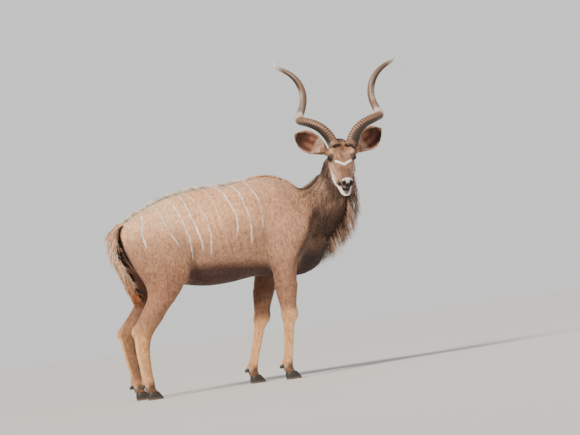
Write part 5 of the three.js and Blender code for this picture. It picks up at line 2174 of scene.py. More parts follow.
@dataclass(frozen=True)
class Unwrap:
    """Where each part of the body lies on one square, so that every tuft bakes in its own place."""

    cells: Tuple[Tuple[Region, float, float, float, float], ...] = (
        (Region.TRUNK, 0.00, 0.42, 1.00, 0.58), (Region.NECK, 0.00, 0.20, 0.30, 0.21),
        (Region.HEAD, 0.31, 0.20, 0.35, 0.21), (Region.TAIL, 0.67, 0.20, 0.10, 0.21),
        (Region.EAR_OUTER, 0.78, 0.20, 0.10, 0.21), (Region.EAR_INNER, 0.89, 0.20, 0.10, 0.21),
        (Region.FORE_RIGHT, 0.00, 0.00, 0.24, 0.19), (Region.FORE_LEFT, 0.25, 0.00, 0.24, 0.19),
        (Region.HIND_RIGHT, 0.50, 0.00, 0.24, 0.19), (Region.HIND_LEFT, 0.75, 0.00, 0.24, 0.19),
    )
    patch: float = 0.003

    def place(self, roots: Array, regions: Array) -> Array:
        """The place of each root on the square.

        Args:
            roots: Roots in the tables' millimetres.
            regions: The region of each.

        Returns:
            Two numbers for each root.
        """
        out = np.zeros((len(roots), 2))
        for region, left, low, wide, high in self.cells:
            chosen = regions == region.value
            if not chosen.any():
                continue
            u, v = self._shares(roots[chosen], region)
            out[chosen, 0] = left + wide * (0.01 + 0.98 * np.clip(u, 0, 1))
            out[chosen, 1] = low + high * (0.01 + 0.98 * np.clip(v, 0, 1))
        return out

    def _shares(self, points: Array, region: Region) -> Tuple[Array, Array]:
        """How far along a part, and how far round it, each point lies."""
        x, y, z = points.T
        if region is Region.TRUNK:
            middle = column_at(TRUNK, x, 1)
            return (x + 40) / 1430, np.arctan2(y, middle - z) / math.tau + 0.5
        if region is Region.TAIL:
            centre = column_at([(r[2], r[0], r[1]) for r in TAIL], z, 1)
            return (1200 - z) / 580, np.arctan2(y + 30, x - centre) / math.tau + 0.5
        if region is Region.NECK:
            rows, at, _ = neck_stations(3)
            nearest = np.argmin(np.sum((points[:, None, :] - at[None]) ** 2, axis=2), axis=1)
            off = points - at[nearest]
            along = unit(np.gradient(at, axis=0))[nearest]
            share = (nearest + np.sum(off * along, axis=1) / 60) / len(rows)
            rise = off - along * np.sum(off * along, axis=1, keepdims=True)
            front = unit(np.cross(along, (0.0, 1.0, 0.0)))
            return share, np.arctan2(rise[:, 1], np.sum(rise * front, axis=1)) / math.tau + 0.5
        if region is Region.HEAD:
            side, up, face = HEAD.local(points).T
            return (face + 40) / 480, np.arctan2(side, up + 90) / math.tau + 0.5
        if region in EARS_BOTH_FACES:
            left = np.linalg.norm(points - EARS.axes(1)[0], axis=1)
            right = np.linalg.norm(points - EARS.axes(-1)[0], axis=1)
            u, v = np.zeros(len(points)), np.zeros(len(points))
            for hand, chosen in ((1, left < right), (-1, left >= right)):
                root, along, _, across = EARS.axes(hand)
                off = points[chosen] - root
                u[chosen] = (off @ along + 60) / 320
                v[chosen] = (0.25 if hand > 0 else 0.75) + (off @ across) / 180 * 0.24
            return u, v
        x_mid = column_at(limb_table(region), z, 1) - STANCE.set_back(region, z)
        y_mid = limb_hand(region) * column_at(limb_table(region), z, 3)
        return z / 1320, np.arctan2(y - y_mid, x - x_mid) / math.tau + 0.5

    def write(self, mesh: bpy.types.Mesh, regions: Array) -> None:
        """Give a coat piece its OFBake map.

        Args:
            mesh: The piece's mesh, with its root and local attributes.
            regions: The region of each vertex's root.
        """
        local = read_attribute(mesh, "local")
        place = self.place(tabled(read_attribute(mesh, "root")), regions)
        place = place + (local[:, (0, 2)] - (0.0, 0.5)) * (self.patch / 2, self.patch)
        corners = np.empty(len(mesh.loops), np.int32)
        mesh.loops.foreach_get("vertex_index", corners)
        layer = mesh.uv_layers.new(name="OFBake")
        layer.uv.foreach_set("vector", np.clip(place[corners], 0, 1).astype(np.float32).ravel())


def drop_attributes(mesh: bpy.types.Mesh, names: Sequence[str]) -> None:
    """Remove attributes that the finished mesh has no use for."""
    for name in names:
        layer = mesh.attributes.get(name)
        if layer:
            mesh.attributes.remove(layer)


WORKING_ATTRIBUTES = (
    "out", "way", "fall", "side", "size", "root", "local",
    "density", "length", "width", "raise", "region", "lie",
)


class Tones:
    """Broad colours of the coat, laid one over another by place; some of them are painted light and painted
    shade.
    """

    flank = linear(226, 170, 128)
    # haunch: pale tan of the tail, the crest's tips and the tail fringe, and a painted highlight on the top
    # of the rump.
    haunch = linear(250, 200, 158)
    back = linear(214, 170, 142)
    shoulder = linear(176, 129, 102)
    # Painted shade on the lower body.
    shaded_low_flank = linear(154, 113, 89)
    # Painted shade under the body.
    shaded_belly = linear(72, 48, 40)
    # chest: dark brown of the neck's streaks, the beard, the forehead's curls and the neck behind the jaw,
    # and painted shade on the chest and under the brisket.
    chest = linear(56, 40, 33)
    neck = linear(124, 95, 78)
    neck_side = linear(164, 128, 106)
    thigh = linear(150, 106, 80)
    buff = linear(202, 146, 98)
    pale_front = linear(250, 196, 138)
    # shadow_leg: painted shade on the legs' inner faces and in their folds.
    shadow_leg = linear(98, 66, 49)
    pastern = linear(84, 60, 46)
    cream = linear(238, 216, 190)
    rust = linear(180, 98, 44)
    # dark: near-black of the eye patch, the mouth corners, the ears' insides and the tail's hair, and painted
    # shade behind the tail.
    dark = linear(36, 25, 21)
    face = linear(146, 106, 84)
    forehead = linear(126, 86, 64)
    brow = linear(210, 166, 132)
    cheek = linear(204, 162, 136)
    bridge = linear(114, 80, 63)
    nose = linear(22, 18, 19)
    white = linear(246, 238, 228)
    ear_back = linear(152, 114, 88)
    ear_rim = linear(192, 144, 112)
    ear_inside = linear(92, 42, 28)
    ear_tuft = linear(226, 188, 168)

    seed = 7
    cheek_line: Tuple[Triple, ...] = ((91, -90, 196), (70, -135, 283), (50, -150, 350), (34, -162, 396))

    def __init__(self, points: Array, regions: Array, normals: Array) -> None:
        """Start from the flank's tone everywhere.

        Args:
            points: Places in the tables' millimetres.
            regions: The region of each.
            normals: The way each place faces.
        """
        self.points = points
        self.regions = regions
        self.normals = normals
        self.tone = np.tile(np.array(self.flank), (len(points), 1))
        self.random = np.random.default_rng(self.seed)
        self.drift = self._waves(6, (0.012, 0.012, 0.012))
        self.curl = self._waves(6, (0.2, 0.2, 0.2))
        self.streak = self._waves(7, (0.30, 0.30, 0.018))

    def _waves(self, count: int, pace: Triple) -> Array:
        """The mean of some waves that run at random through space."""
        ways = self.random.normal(size=(count, 3)) * pace
        phases = self.random.uniform(0, math.tau, count)
        return np.mean(np.sin(self.points @ ways.T + phases), axis=1)

    def lay(self, mask: Array, colour: Colour) -> None:
        """Lay a colour over the tone where the mask is 1."""
        mask = np.clip(mask, 0, 1)[:, None]
        self.tone = self.tone * (1 - mask) + np.array(colour) * mask

    def of(self, *regions: Region) -> Array:
        """1 in the given regions and 0 elsewhere."""
        return np.isin(self.regions, [region.value for region in regions]).astype(float)

    def build(self) -> Array:
        """Lay all the tones in order.

        Returns:
            One colour for each place.
        """
        self._body()
        self._legs()
        self._head()
        self._ears()
        self._tail()
        return self.tone

    def _body(self) -> None:
        """Back, shoulder, flank, underside, chest and neck, with a painted highlight on the top of the rump
        and painted shade low on the body, under it, on the chest and behind the tail.
        """
        x, y, z = self.points.T
        z = z + 40 * self.drift
        body = 1 - self.of(Region.HEAD, Region.TAIL, *EARS_BOTH_FACES)
        # Painted shade: darker towards the bottom of the body.
        self.lay(body * ramp(z, 1160, 940) * 0.75, self.shaded_low_flank)
        # Painted highlight: pale on the top of the rump, where the sun falls.
        self.lay(body * ramp(x, 520, 220) * ramp(z, 1020, 1150) * 0.9, self.haunch)
        self.lay(body * ramp(z, 1240, 1350) * ramp(x, 500, 900) * 0.8, self.back)
        self.lay(body * 0.85 * blob(x, 1080, 190) * blob(z, 1120, 230), self.shoulder)
        # Painted shade: darker low on the flank, between the thigh and the elbow.
        self.lay(body * ramp(z, 1030, 880) * ramp(x, 300, 460) * ramp(x, 1180, 1000) * 0.65, self.shaded_low_flank)
        # Painted shade under the body, from the flank fold to the elbow.
        under = ramp(z + 0.1 * (x - 450), 895, 812)
        self.lay(body * under * ramp(x, 348, 396) * ramp(x, 1005, 950), self.shaded_belly)
        self.lay(body * ramp(z, 980, 800) * ramp(x, 380, 300) * 0.85, self.thigh)
        neck_share = ramp(x + 0.25 * (z - 1200), 1165, 1345)
        self.lay(body * neck_share * 0.9, self.neck)
        self.lay(body * blob(x, 1440, 70) * blob(z, 1310, 120) * 0.5, self.neck_side)
        streaked = self.of(Region.NECK) * ramp(neck_share, 0.3, 0.8)
        self.lay(streaked * ramp(self.streak, 0.05, 0.4) * 0.75, self.neck_side)
        self.lay(streaked * ramp(self.streak, -0.02, -0.3) * 0.7, self.chest)
        front = x - (z - 1000) * 0.62
        # Painted shade on the front of the chest, and a painted shadow line along the front edge of the
        # shoulder.
        self.lay(body * ramp(front, 1215, 1290) * ramp(z, 1230, 1090) * 0.75, self.chest)
        self.lay(body * blob(front, 1232, 34) * ramp(z, 1200, 1100) * 0.85, self.chest)
        # Painted shade between the thighs, below the root of the tail.
        self.lay(body * ramp(x, 60, 20) * ramp(np.abs(y), 62, 36) * ramp(z, 1110, 1050), self.dark)
        # Painted shade under the brisket and between the forelegs.
        self.lay(body * ramp(z, 930, 820) * ramp(x, 1120, 1200), self.chest)
        self.lay(body * ramp(np.abs(y), 95, 45) * ramp(z, 900, 820) * ramp(x, 900, 1000), self.chest)
        ridge = ramp(np.abs(y), 34, 14) * ramp(z, 1200, 1260)
        self.lay(body * ridge * ramp(x, 1010, 940) * 0.75, self.cream)

    def _legs(self) -> None:
        """Buff lower legs with pale fronts and dark pasterns, and painted shade on their inner faces, inside
        the knees, behind the forearms and in front of the hocks.
        """
        x, _, z = self.points.T
        z = z + 26 * self.drift
        for limb in LIMBS:
            own = self.of(limb)
            ahead = self.normals[:, 0]
            inward = -limb_hand(limb) * self.normals[:, 1]
            self.lay(own * ramp(z, 860, 700) * 0.8, self.thigh)
            self.lay(own * ramp(z, 540, 420) * 0.95, self.buff)
            # Painted shade on the inner faces of the upper legs.
            self.lay(own * ramp(inward, 0.25, 0.8) * ramp(z, 500, 620) * 0.8, self.shadow_leg)
            if limb in FORE_LIMBS:
                shin = ramp(z, 500, 410) * ramp(z, 90, 160)
                self.lay(own * ramp(ahead, -0.3, 0.5) * shin * 0.9, self.pale_front)
                # Painted shade inside the knee and on the back of the forearm.
                self.lay(own * blob(z, 470, 60) * ramp(inward, 0.1, 0.7) * 0.85, self.shadow_leg)
                self.lay(own * ramp(ahead, -0.2, -0.8) * blob(z, 620, 130) * 0.5, self.shadow_leg)
            else:
                shin = ramp(z, 560, 430) * ramp(z, 100, 160)
                # Painted shade on the inner face of the hind cannon and on the front of the hock.
                self.lay(own * ramp(inward, 0.0, 0.6) * shin * 0.75, self.shadow_leg)
                self.lay(own * ramp(ahead, 0.1, 0.8) * blob(z, 470, 110) * 0.55, self.shadow_leg)
                cannon = ramp(z, 120, 200) * ramp(z, 560, 420)
                self.lay(own * ramp(ahead, -0.3, -0.8) * cannon * 0.55, self.pale_front)
            self.lay(own * ramp(z, 128, 84) * 0.85, self.pastern)
            self.lay(own * blob(z, 92, 15) * ramp(-ahead, 0.0, 0.7) * 0.4, self.cream)

    def _segment(self, start: Triple, end: Triple, reach: float) -> Array:
        """A soft line on both sides of the head, in its own frame."""
        side, up, face = HEAD.local(self.points).T
        local = np.stack((np.abs(side), up, face), axis=1)
        a, b = np.array(start, float), np.array(end, float)
        share = np.clip((local - a) @ (b - a) / float((b - a) @ (b - a)), 0, 1)
        away = np.linalg.norm(local - a - np.outer(share, b - a), axis=1)
        return ramp(away, reach, reach * 0.55)

    def _head(self) -> None:
        """The face with its chevron, pale cheeks, white lips and dark nose."""
        own = self.of(Region.HEAD)
        side, up, face = HEAD.local(self.points).T
        wide = np.abs(side)
        self.lay(own, self.face)
        self.lay(own * ramp(face, 230, 180) * ramp(up, -60, -20) * ramp(wide, 74, 30), self.forehead)
        self.lay(own * blob(face, 62, 26) * ramp(up, -20, 4) * ramp(wide, 40, 20) * 0.5, self.brow)
        self.lay(own * blob(wide, 74, 34) * blob(face, 138, 38) * ramp(up, -50, -20) * 0.95, self.brow)
        curled = own * ramp(wide, 60, 40)
        self.lay(curled * ramp(self.curl, 0.06, 0.3) * ramp(face, 215, 180) * 0.35, self.brow)
        self.lay(curled * ramp(self.curl, -0.06, -0.3) * ramp(face, 225, 190) * 0.5, self.chest)
        self.lay(own * self._segment((84, -60, 196), (70, -50, 232), 14) * 0.6, self.bridge)
        self.lay(own * ramp(wide, 30, 58) * blob(face, 255, 90) * ramp(up, -30, -60) * 0.95, self.cheek)
        self.lay(own * ramp(wide, 40, 24) * ramp(face, 230, 300) * ramp(up, -60, -30), self.bridge)
        self.lay(own * ramp(face, 110, 25) * ramp(up, 25, -45) * 0.85, self.neck)
        self.lay(own * ramp(up, -125, -150) * ramp(face, 320, 200) * 0.6, self.neck)
        throat = self.of(Region.NECK) * self._segment((100, -120, 110), (56, -190, 330), 70)
        self.lay(throat * 0.75, self.chest)
        for start, end in zip(self.cheek_line, self.cheek_line[1:]):
            self.lay(own * 0.95 * self._segment(start, end, 15), self.white)
        self.lay(own * 0.8 * self._segment((92, -96, 150), (92, -98, 168), 11), self.cream)
        self.lay(own * 0.7 * self._segment((94, -128, 138), (93, -130, 152), 10), self.cream)
        chevron = ramp(np.abs(face - (249 - 0.8 * wide)), 12.5, 6.5) * ramp(wide, 62, 54)
        self.lay(own * chevron * ramp(up, -60, -40) * 0.97, self.white)
        self.lay(own * ramp(face, 330, 372) * ramp(up, -92, -60) * 0.7, self.bridge)
        self.lay(own * ramp(face, 322, 356) * ramp(up, -56, -68) * ramp(up, -124, -116), self.white)
        # Painted highlight: a pale bar on the top of the nose, above the nostrils.
        self.lay(own * ramp(face, 368, 380) * ramp(up, -46, -34) * ramp(wide, 40, 32) * 0.75, self.white)
        self.lay(own * ramp(face, 310, 350) * ramp(up, -130, -138), self.white)
        self.lay(own * ramp(face, 290, 320) * ramp(up, -112, -117) * ramp(up, -138, -132), self.dark)
        nostril = blob(wide, 25, 15) * blob(up, -36, 17) * ramp(face, 386, 396)
        pad = ramp(wide, 20, 13) * blob(up, -52, 22) * ramp(face, 398, 408)
        self.lay(own * np.minimum(1, 1.7 * np.maximum(nostril, pad)), self.nose)
        for hand in HANDS:
            away = np.linalg.norm(self.points - SKULL_PLACES.eye_centre(hand), axis=1)
            self.lay(own * ramp(away, 37, 27) * 0.75, self.dark)

    def _ears(self) -> None:
        """Tan backs and rims, red-brown insides with pale hair at the root."""
        inner = self.of(Region.EAR_INNER)
        self.lay(self.of(Region.EAR_OUTER), self.ear_back)
        self.lay(inner, self.ear_inside)
        for hand in HANDS:
            near, share, aside = EARS.measure(hand, self.points)
            table = np.asarray(EAR, float)
            width = np.interp(share, table[:, 0], table[:, 1]) * EARS.half_width
            edge = np.abs(aside) / np.maximum(width, 1)
            ridges = 0.5 + 0.5 * np.sin(aside / EARS.half_width * 9)
            own = inner * near
            self.lay(own * ramp(share, 0.35, 0.8) * 0.6, self.dark)
            self.lay(own * ridges * ramp(share, 0.75, 0.45) * 0.35, self.ear_rim)
            self.lay(own * ramp(edge, 0.72, 0.95), self.ear_rim)
            self.lay(own * ramp(share, 0.9, 1.0), self.ear_rim)
            self.lay(own * ramp(share, 0.42, 0.22) * 0.8, self.ear_tuft)

    def _tail(self) -> None:
        """A tan tail with a rust end, and painted shade on its face towards the body."""
        own = self.of(Region.TAIL)
        z = self.points[:, 2]
        self.lay(own, self.haunch)
        self.lay(own * ramp(z, 960, 760), self.rust)
        # Painted shade on the face that looks towards the body.
        self.lay(own * ramp(self.normals[:, 0], 0.1, 0.6), self.dark)


@dataclass(frozen=True)
class CoatPatch:
    """One piece of the short coat."""

    name: str
    slot: str
    regions: Tuple[Region, ...]
    density: float
    hand: int = 0
    half: float = 0.0018
    thick: float = 0.0006
    lift: float = 0.16
    swing: float = 0.35
    low: float = -1e6
    high: float = 1e6
    segments: int = 2


UPPER = 640
BODY_PARTS = (Region.TRUNK, *LIMBS)
PATCHES = (
    CoatPatch("coat_right_side", "coat", BODY_PARTS, 15500, -1, low=UPPER),
    CoatPatch("coat_left_side", "coat", BODY_PARTS, 15500, 1, low=UPPER),
    CoatPatch("coat_neck", "neck_hair", (Region.NECK,), 17000, half=0.002, lift=0.24),
    CoatPatch("coat_fore_legs", "leg_hair", FORE_LIMBS, 30000, half=0.0012, high=UPPER),
    CoatPatch("coat_hind_legs", "leg_hair", HIND_LIMBS, 26000, half=0.0012, high=UPPER),
    CoatPatch("coat_head", "face", (Region.HEAD,), 62000, half=0.0009, thick=0.0004, swing=0.25),
    CoatPatch("coat_ears", "ear_skin", EARS_BOTH_FACES, 42000, half=0.0010, thick=0.0004),
)


@dataclass
class ShortCoat:
    """The short coat: tufts laid along the body in several pieces."""

    skin: bpy.types.Object
    seed: int = 5
    quick_share: float = 0.35
    settle: float = 0.1
    sink: float = 0.0012
    ragged_edge: float = 45

    def prepare(self) -> None:
        """Store the tones, the lengths and how closely the tufts stand."""
        mesh = self.skin.data
        points = tabled(mesh_points(mesh))
        normals = mesh_normals(mesh)
        regions = read_attribute(mesh, "region", 1)[:, 0].round().astype(int)
        tones = Tones(points, regions, normals)
        tone = tones.build()
        tone = np.clip(tone * (1 + 0.10 * tones.drift[:, None]), 0, 1)
        write_attribute(mesh, "tone", "FLOAT_COLOR", tone)
        paler = 0.28 + 0.95 * tones.of(Region.NECK)[:, None] * ramp(points[:, 2], 1040, 1160)[:, None]
        write_attribute(mesh, "tip", "FLOAT_COLOR", np.clip(tone * (1 + paler) + 0.03 * paler, 0, 1))
        length, width, density, lift = self._sizes(points, tones)
        write_attribute(mesh, "length", "FLOAT", length * MILLIMETRE)
        write_attribute(mesh, "width", "FLOAT", width)
        write_attribute(mesh, "raise", "FLOAT", lift)
        self.density, self.regions, self.points = density, regions, points
        edge = self.ragged_edge
        self.ragged = np.random.default_rng(self.seed).uniform(-edge, edge, len(points))

    def _sizes(self, points: Array, tones: Tones) -> Tuple[Array, Array, Array, Array]:
        """Length in millimetres, relative width, relative density and relative lift of the hair.

        Args:
            points: Places in the tables' millimetres.
            tones: The tones, for their regions.

        Returns:
            The four values for each place.
        """
        z = points[:, 2]
        limbs = tones.of(*LIMBS)
        neck, head = tones.of(Region.NECK), tones.of(Region.HEAD)
        outer, inner = tones.of(Region.EAR_OUTER), tones.of(Region.EAR_INNER)
        length = 27 + 27 * neck
        length = length * (1 - limbs) + limbs * (12 + 15 * ramp(z, 420, 820))
        side, up, face = HEAD.local(points).T
        own = 12 - 6.5 * ramp(face, 200, 400) + 9 * ramp(face, 60, 10)
        own = own + 7 * ramp(up, -40, 0) * ramp(face, 190, 90)
        length = length * (1 - head) + head * own
        length = length * (1 - outer) + outer * 15
        width, lift, density = np.ones(len(points)), np.ones(len(points)), np.ones(len(points))
        crown = head * ramp(face, 190, 90) * ramp(up, -40, -8)
        brow = head * blob(np.abs(side), 56, 28) * blob(face, 130, 24) * ramp(up, -40, -14)
        lift = lift + 2.2 * crown + 1.6 * brow
        for hand in HANDS:
            near, share, _ = EARS.measure(hand, points)
            near = inner * near
            length = length * (1 - near) + near * (11 + 22 * ramp(share, 0.5, 0.15))
            lift = lift + 1.5 * near * ramp(share, 0.5, 0.15)
            away = np.linalg.norm(points - SKULL_PLACES.eye_centre(hand), axis=1)
            density = density * ramp(away, 26.5, 29)
            nostril = np.linalg.norm(HEAD.local(points) - (hand * 22, -40, 412), axis=1)
            density = density * ramp(nostril, 12, 20)
        pad = head * ramp(face, 396, 404) * ramp(up, -84, -74)
        mouth = head * ramp(face, 286, 300) * ramp(np.abs(up + 118), 15, 9) * ramp(np.abs(side), 40, 26)
        density = density * (1 - pad) * (1 - mouth) * ramp(z, 50, 56)
        return length, width, density, lift

    def build(self, finish: HairFinish) -> None:
        """Lay every patch and add it to the model.

        Args:
            finish: The hair's finish.
        """
        tree = tree_of(self.points)
        share = 1.0
        for number, patch in enumerate(PATCHES):
            mask = np.isin(self.regions, [region.value for region in patch.regions]).astype(float)
            heights, sides = self.points[:, 2] + self.ragged, self.points[:, 1]
            mask = mask * (heights >= patch.low) * (heights < patch.high)
            if patch.hand:
                mask = mask * (sides * patch.hand > 0)
            thing = linked(patch.name, self.skin.data.copy())
            thing.data.name = patch.name
            write_attribute(thing.data, "density", "FLOAT", mask * self.density)
            values = {
                "Density": patch.density * share, "Half Width": patch.half / math.sqrt(share),
                "Thickness": patch.thick, "Lift": patch.lift, "Swing": patch.swing,
                "Settle": self.settle, "Sink": self.sink,
            }
            strands = StrandTree().tree(True, patch.segments)
            mesh = grow_hair(thing, strands, finish, values, self.seed + number)
            roots = tabled(read_attribute(mesh, "root"))
            per_hair = StrandTree.sides * patch.segments + 1
            firsts = roots[::per_hair] if len(roots) % per_hair == 0 else roots
            found = np.array([tree.find(root)[1] for root in firsts])
            regions = self.regions[found]
            if len(firsts) != len(roots):
                regions = np.repeat(regions, per_hair)
            Unwrap().write(mesh, regions)
            drop_attributes(mesh, WORKING_ATTRIBUTES)
            add(thing, patch.slot)


class LockRoots:
    """Roots of long hair, grown in clumps whose hairs draw together at their ends."""

    def __init__(self, seed: int) -> None:
        """Start with a seeded draw."""
        self.random = np.random.default_rng(seed)
        self.values: Dict[str, List[Array]] = {}

    def add(self, clumps: Dict[str, Array], strands: int, spread: float, half: float, thick: float) -> None:
        """Grow hairs on a set of clumps.

        Args:
            clumps: Root, way, fall, side, length, tone and tip of each clump, in millimetres.
            strands: Hairs in a clump.
            spread: How far the hairs of a clump stand apart at the root.
            half: Half the width of a hair.
            thick: Half its thickness.
        """
        random = self.random
        own = {name: np.repeat(np.asarray(rows, float), strands, axis=0) for name, rows in clumps.items()}
        count = len(own["root"])
        drift = random.normal(size=(count, 3)) * spread
        way = unit(unit(own["way"]) + random.normal(size=(count, 3)) * 0.09)
        length = own["length"] * random.uniform(0.66, 1.04, count)
        fall = unit(own["fall"]) + random.normal(size=(count, 3)) * 0.07
        fall = unit(fall - drift * (0.7 / length[:, None]))
        side = squared(unit(own["side"] + random.normal(size=(count, 3)) * 0.5), way)
        size = np.stack((length, half * random.uniform(0.65, 1.35, count), np.full(count, thick)), axis=1)
        shade = np.clip(np.repeat(random.uniform(0.1, 0.9, count // strands), strands)
                        + random.normal(size=count) * 0.2, 0, 1)
        grown = {
            "root": world(own["root"] + drift), "way": way, "fall": fall, "side": side,
            "size": size * MILLIMETRE, "shade": shade, "tone": own["tone"], "tip": own["tip"],
        }
        for name, rows in grown.items():
            self.values.setdefault(name, []).append(rows)

    def build(self, name: str, slot: str, region: Region, finish: HairFinish, segments: int,
              seed: int) -> None:
        """Hang the hairs and add them to the model as one piece.

        Args:
            name: The piece's name.
            slot: The record's slot of its finish.
            region: Where its roots lie on the unwrap.
            finish: The hair's finish.
            segments: Bends in a hair.
            seed: The seed of the tree.
        """
        values = {key: np.concatenate(rows) for key, rows in self.values.items()}
        mesh = bpy.data.meshes.new(name)
        mesh.from_pydata(values["root"].tolist(), [], [])
        for key, rows in values.items():
            kind = "FLOAT" if rows.ndim == 1 else "FLOAT_COLOR" if key in ("tone", "tip") else "FLOAT_VECTOR"
            write_attribute(mesh, key, kind, rows)
        thing = linked(name, mesh)
        mesh = grow_hair(thing, StrandTree().tree(False, segments), finish, {}, seed)
        Unwrap().write(mesh, np.full(len(mesh.vertices), region.value))
        drop_attributes(mesh, WORKING_ATTRIBUTES)
        add(thing, slot)


def neck_edge(shares: Array, throat: bool) -> Tuple[Array, Array, Array, Array]:
    """Places along the throat or the nape.

    Args:
        shares: Shares along the neck, from the trunk to the head.
        throat: Whether the throat is meant, not the nape.

    Returns:
        The places, and the side, upward and lengthwise directions.
    """
    rows, at, side = neck_stations(6)
    along = unit(np.gradient(at, axis=0))
    side = squared(side, along)
    rise = np.cross(along, side)
    reach = -rows[:, 5] if throat else rows[:, 4]
    side, rise_at, along = (unit(read_along(shares, table)) for table in (side, rise, along))
    return read_along(shares, at + rise * reach[:, None]), side, rise_at, along


def mixed(share: Array, one: Colour, two: Colour) -> Array:
    """Rows of colour between two tones."""
    share = np.clip(np.asarray(share, float), 0, 1)[:, None]
    return np.array(one) * (1 - share) + np.array(two) * share


@dataclass(frozen=True)
class LongHair:
    """The throat fringe, the nape mane, the crest of the back and the tail's fringe."""

    seed: int = 21
    quick_share: float = 0.5
    beard_clumps: int = 190
    beard_strands: int = 17
    beard_range: Tuple[float, float] = (0.13, 0.93)
    beard_lengths: Tuple[float, float] = (80, 205)
    mane_clumps: int = 110
    mane_strands: int = 12
    mane_length: float = 66
    crest_clumps: int = 300
    crest_strands: int = 11
    crest_length: float = 60
    tail_clumps: int = 230
    tail_strands: int = 15
    tail_length: float = 118

    def build(self, finish: HairFinish) -> None:
        """Grow all the long hair.

        Args:
            finish: The hair's finish.
        """
        share = 1.0
        for number, grow in enumerate((self._beard, self._mane, self._crest, self._tail)):
            grow(finish, share, self.seed + number)

    def _row(self, clumps: int, seed: int) -> Tuple[np.random.Generator, int, Array]:
        """A seeded draw, a number of clumps, and a place for each along a line from 0 to 1."""
        random = np.random.default_rng(seed)
        return random, clumps, (np.arange(clumps) + random.uniform(0, 1, clumps)) / clumps

    def _beard(self, finish: HairFinish, share: float, seed: int) -> None:
        """Hang the fringe from the chin to the chest: brown, with pale and rusty ends."""
        random, count, along = self._row(int(self.beard_clumps * share), seed)
        start, end = self.beard_range
        root, side, rise, line = neck_edge(start + (end - start) * along, True)
        row = random.uniform(-1, 1, count)[:, None]
        full = np.sin(math.pi * along ** 0.9) ** 0.7
        short, long = self.beard_lengths
        down = np.array((0.0, 0.0, -1.0))
        pale = random.uniform(0, 1, count)
        tone = mixed(random.uniform(0, 1, count), Tones.chest, Tones.cheek)
        tip = mixed(ramp(pale, 0.5, 0.55), Tones.chest, Tones.white)
        tip += ramp(pale, 0.30, 0.24)[:, None] * (np.array(Tones.neck_side) - tip)
        rusty = (ramp(row[:, 0], 0.2, 0.9) * ramp(along, 0.25, 0.5))[:, None]
        tip = tip * (1 - rusty) + np.array(Tones.rust) * rusty
        roots = LockRoots(seed)
        roots.add({
            "root": root + side * row * 26 + rise * 5,
            "way": down * 0.75 - rise * 0.7 + side * row * 0.24,
            "fall": down + side * row * 0.06 - line * 0.2 * random.uniform(0, 1, (count, 1)),
            "side": line, "length": (short + (long - short) * full) * random.uniform(0.7, 1.06, count),
            "tone": tone, "tip": tip,
        }, self.beard_strands, 6.5, 1.7, 0.8)
        roots.build("hair_throat_fringe", "neck_hair", Region.NECK, finish, 6, self.seed)

    def _mane(self, finish: HairFinish, share: float, seed: int) -> None:
        """Stand the short nape mane, leaning back down the neck."""
        random, count, along = self._row(int(self.mane_clumps * share), seed)
        root, side, rise, line = neck_edge(0.16 + 0.70 * along, False)
        row = random.uniform(-1, 1, count)[:, None]
        roots = LockRoots(seed)
        roots.add({
            "root": root + side * row * 14 - rise * 5,
            "way": rise - 0.5 * line + side * row * 0.3,
            "fall": 0.25 * rise - line + side * row * 0.2,
            "side": line, "length": self.mane_length * random.uniform(0.75, 1.12, count),
            "tone": mixed(random.uniform(0, 1, count), Tones.dark, Tones.neck),
            "tip": mixed(random.uniform(0, 1, count) ** 2, Tones.neck_side, Tones.cream),
        }, self.mane_strands, 5, 1.5, 0.7)
        roots.build("hair_nape_mane", "neck_hair", Region.NECK, finish, 5, self.seed)

    def _crest(self, finish: HairFinish, share: float, seed: int) -> None:
        """Lay the crest along the back: white to the middle, tan over the withers."""
        random, count, along = self._row(int(self.crest_clumps * share), seed)
        x = 20 + 1240 * along
        rows = smooth_stations(TRUNK, 6)
        top = rows[:, 1] + rows[:, 3]
        z = np.interp(x, rows[:, 0], top)
        slope = unit(np.stack((np.full(count, -40.0), x * 0, np.interp(x - 40, rows[:, 0], top) - z), axis=1))
        row = random.uniform(-1, 1, count)
        lean = np.stack((x * 0, row * 0.3, np.ones(count)), axis=1)
        brown = ramp(x, 860, 980)
        roots = LockRoots(seed)
        roots.add({
            "root": np.stack((x, row * 11, z - 7), axis=1),
            "way": slope + (0.70 - 0.35 * brown[:, None]) * lean,
            "fall": slope + (0.25 - 0.35 * brown[:, None]) * lean,
            "side": np.tile((0.2, 0.0, 1.0), (count, 1)),
            "length": self.crest_length * random.uniform(0.75, 1.1, count) * (1 - 0.35 * brown),
            "tone": mixed(brown, Tones.white, Tones.flank), "tip": mixed(brown, Tones.white, Tones.haunch),
        }, self.crest_strands, 5, 1.5, 0.7)
        roots.build("hair_back_crest", "coat", Region.TRUNK, finish, 4, self.seed)

    def _tail(self, finish: HairFinish, share: float, seed: int) -> None:
        """Hang the tail's fringe: tan and white behind, rust and black at the end, and painted shade on the
        hairs towards the body.
        """
        random, count, along = self._row(int(self.tail_clumps * share), seed)
        rows = smooth_stations(TAIL, 6)
        key = np.linspace(0, 1, len(rows))
        along = 0.06 + 0.80 * along
        at = read_along(along, rows)
        half, deep = (np.interp(along, key, rows[:, k]) * TAIL_CORE_SHARE for k in (3, 4))
        line = unit(read_along(along, unit(np.gradient(rows[:, :3], axis=0))))
        turn = random.uniform(-math.pi, math.pi, count)
        out = squared(np.stack((-np.cos(turn), np.sin(turn), turn * 0), axis=1), line)
        root = at + out * np.stack((deep, half, deep), axis=1) * 0.8
        # front: the hairs on the face towards the body, which take painted shade.
        front = ramp(np.abs(turn), 2.1, 2.5)
        tone = mixed(ramp(along, 0.5, 0.8), Tones.haunch, Tones.rust)
        tip = mixed(random.uniform(0, 1, count) * ramp(along, 0.85, 0.5), Tones.buff, Tones.white)
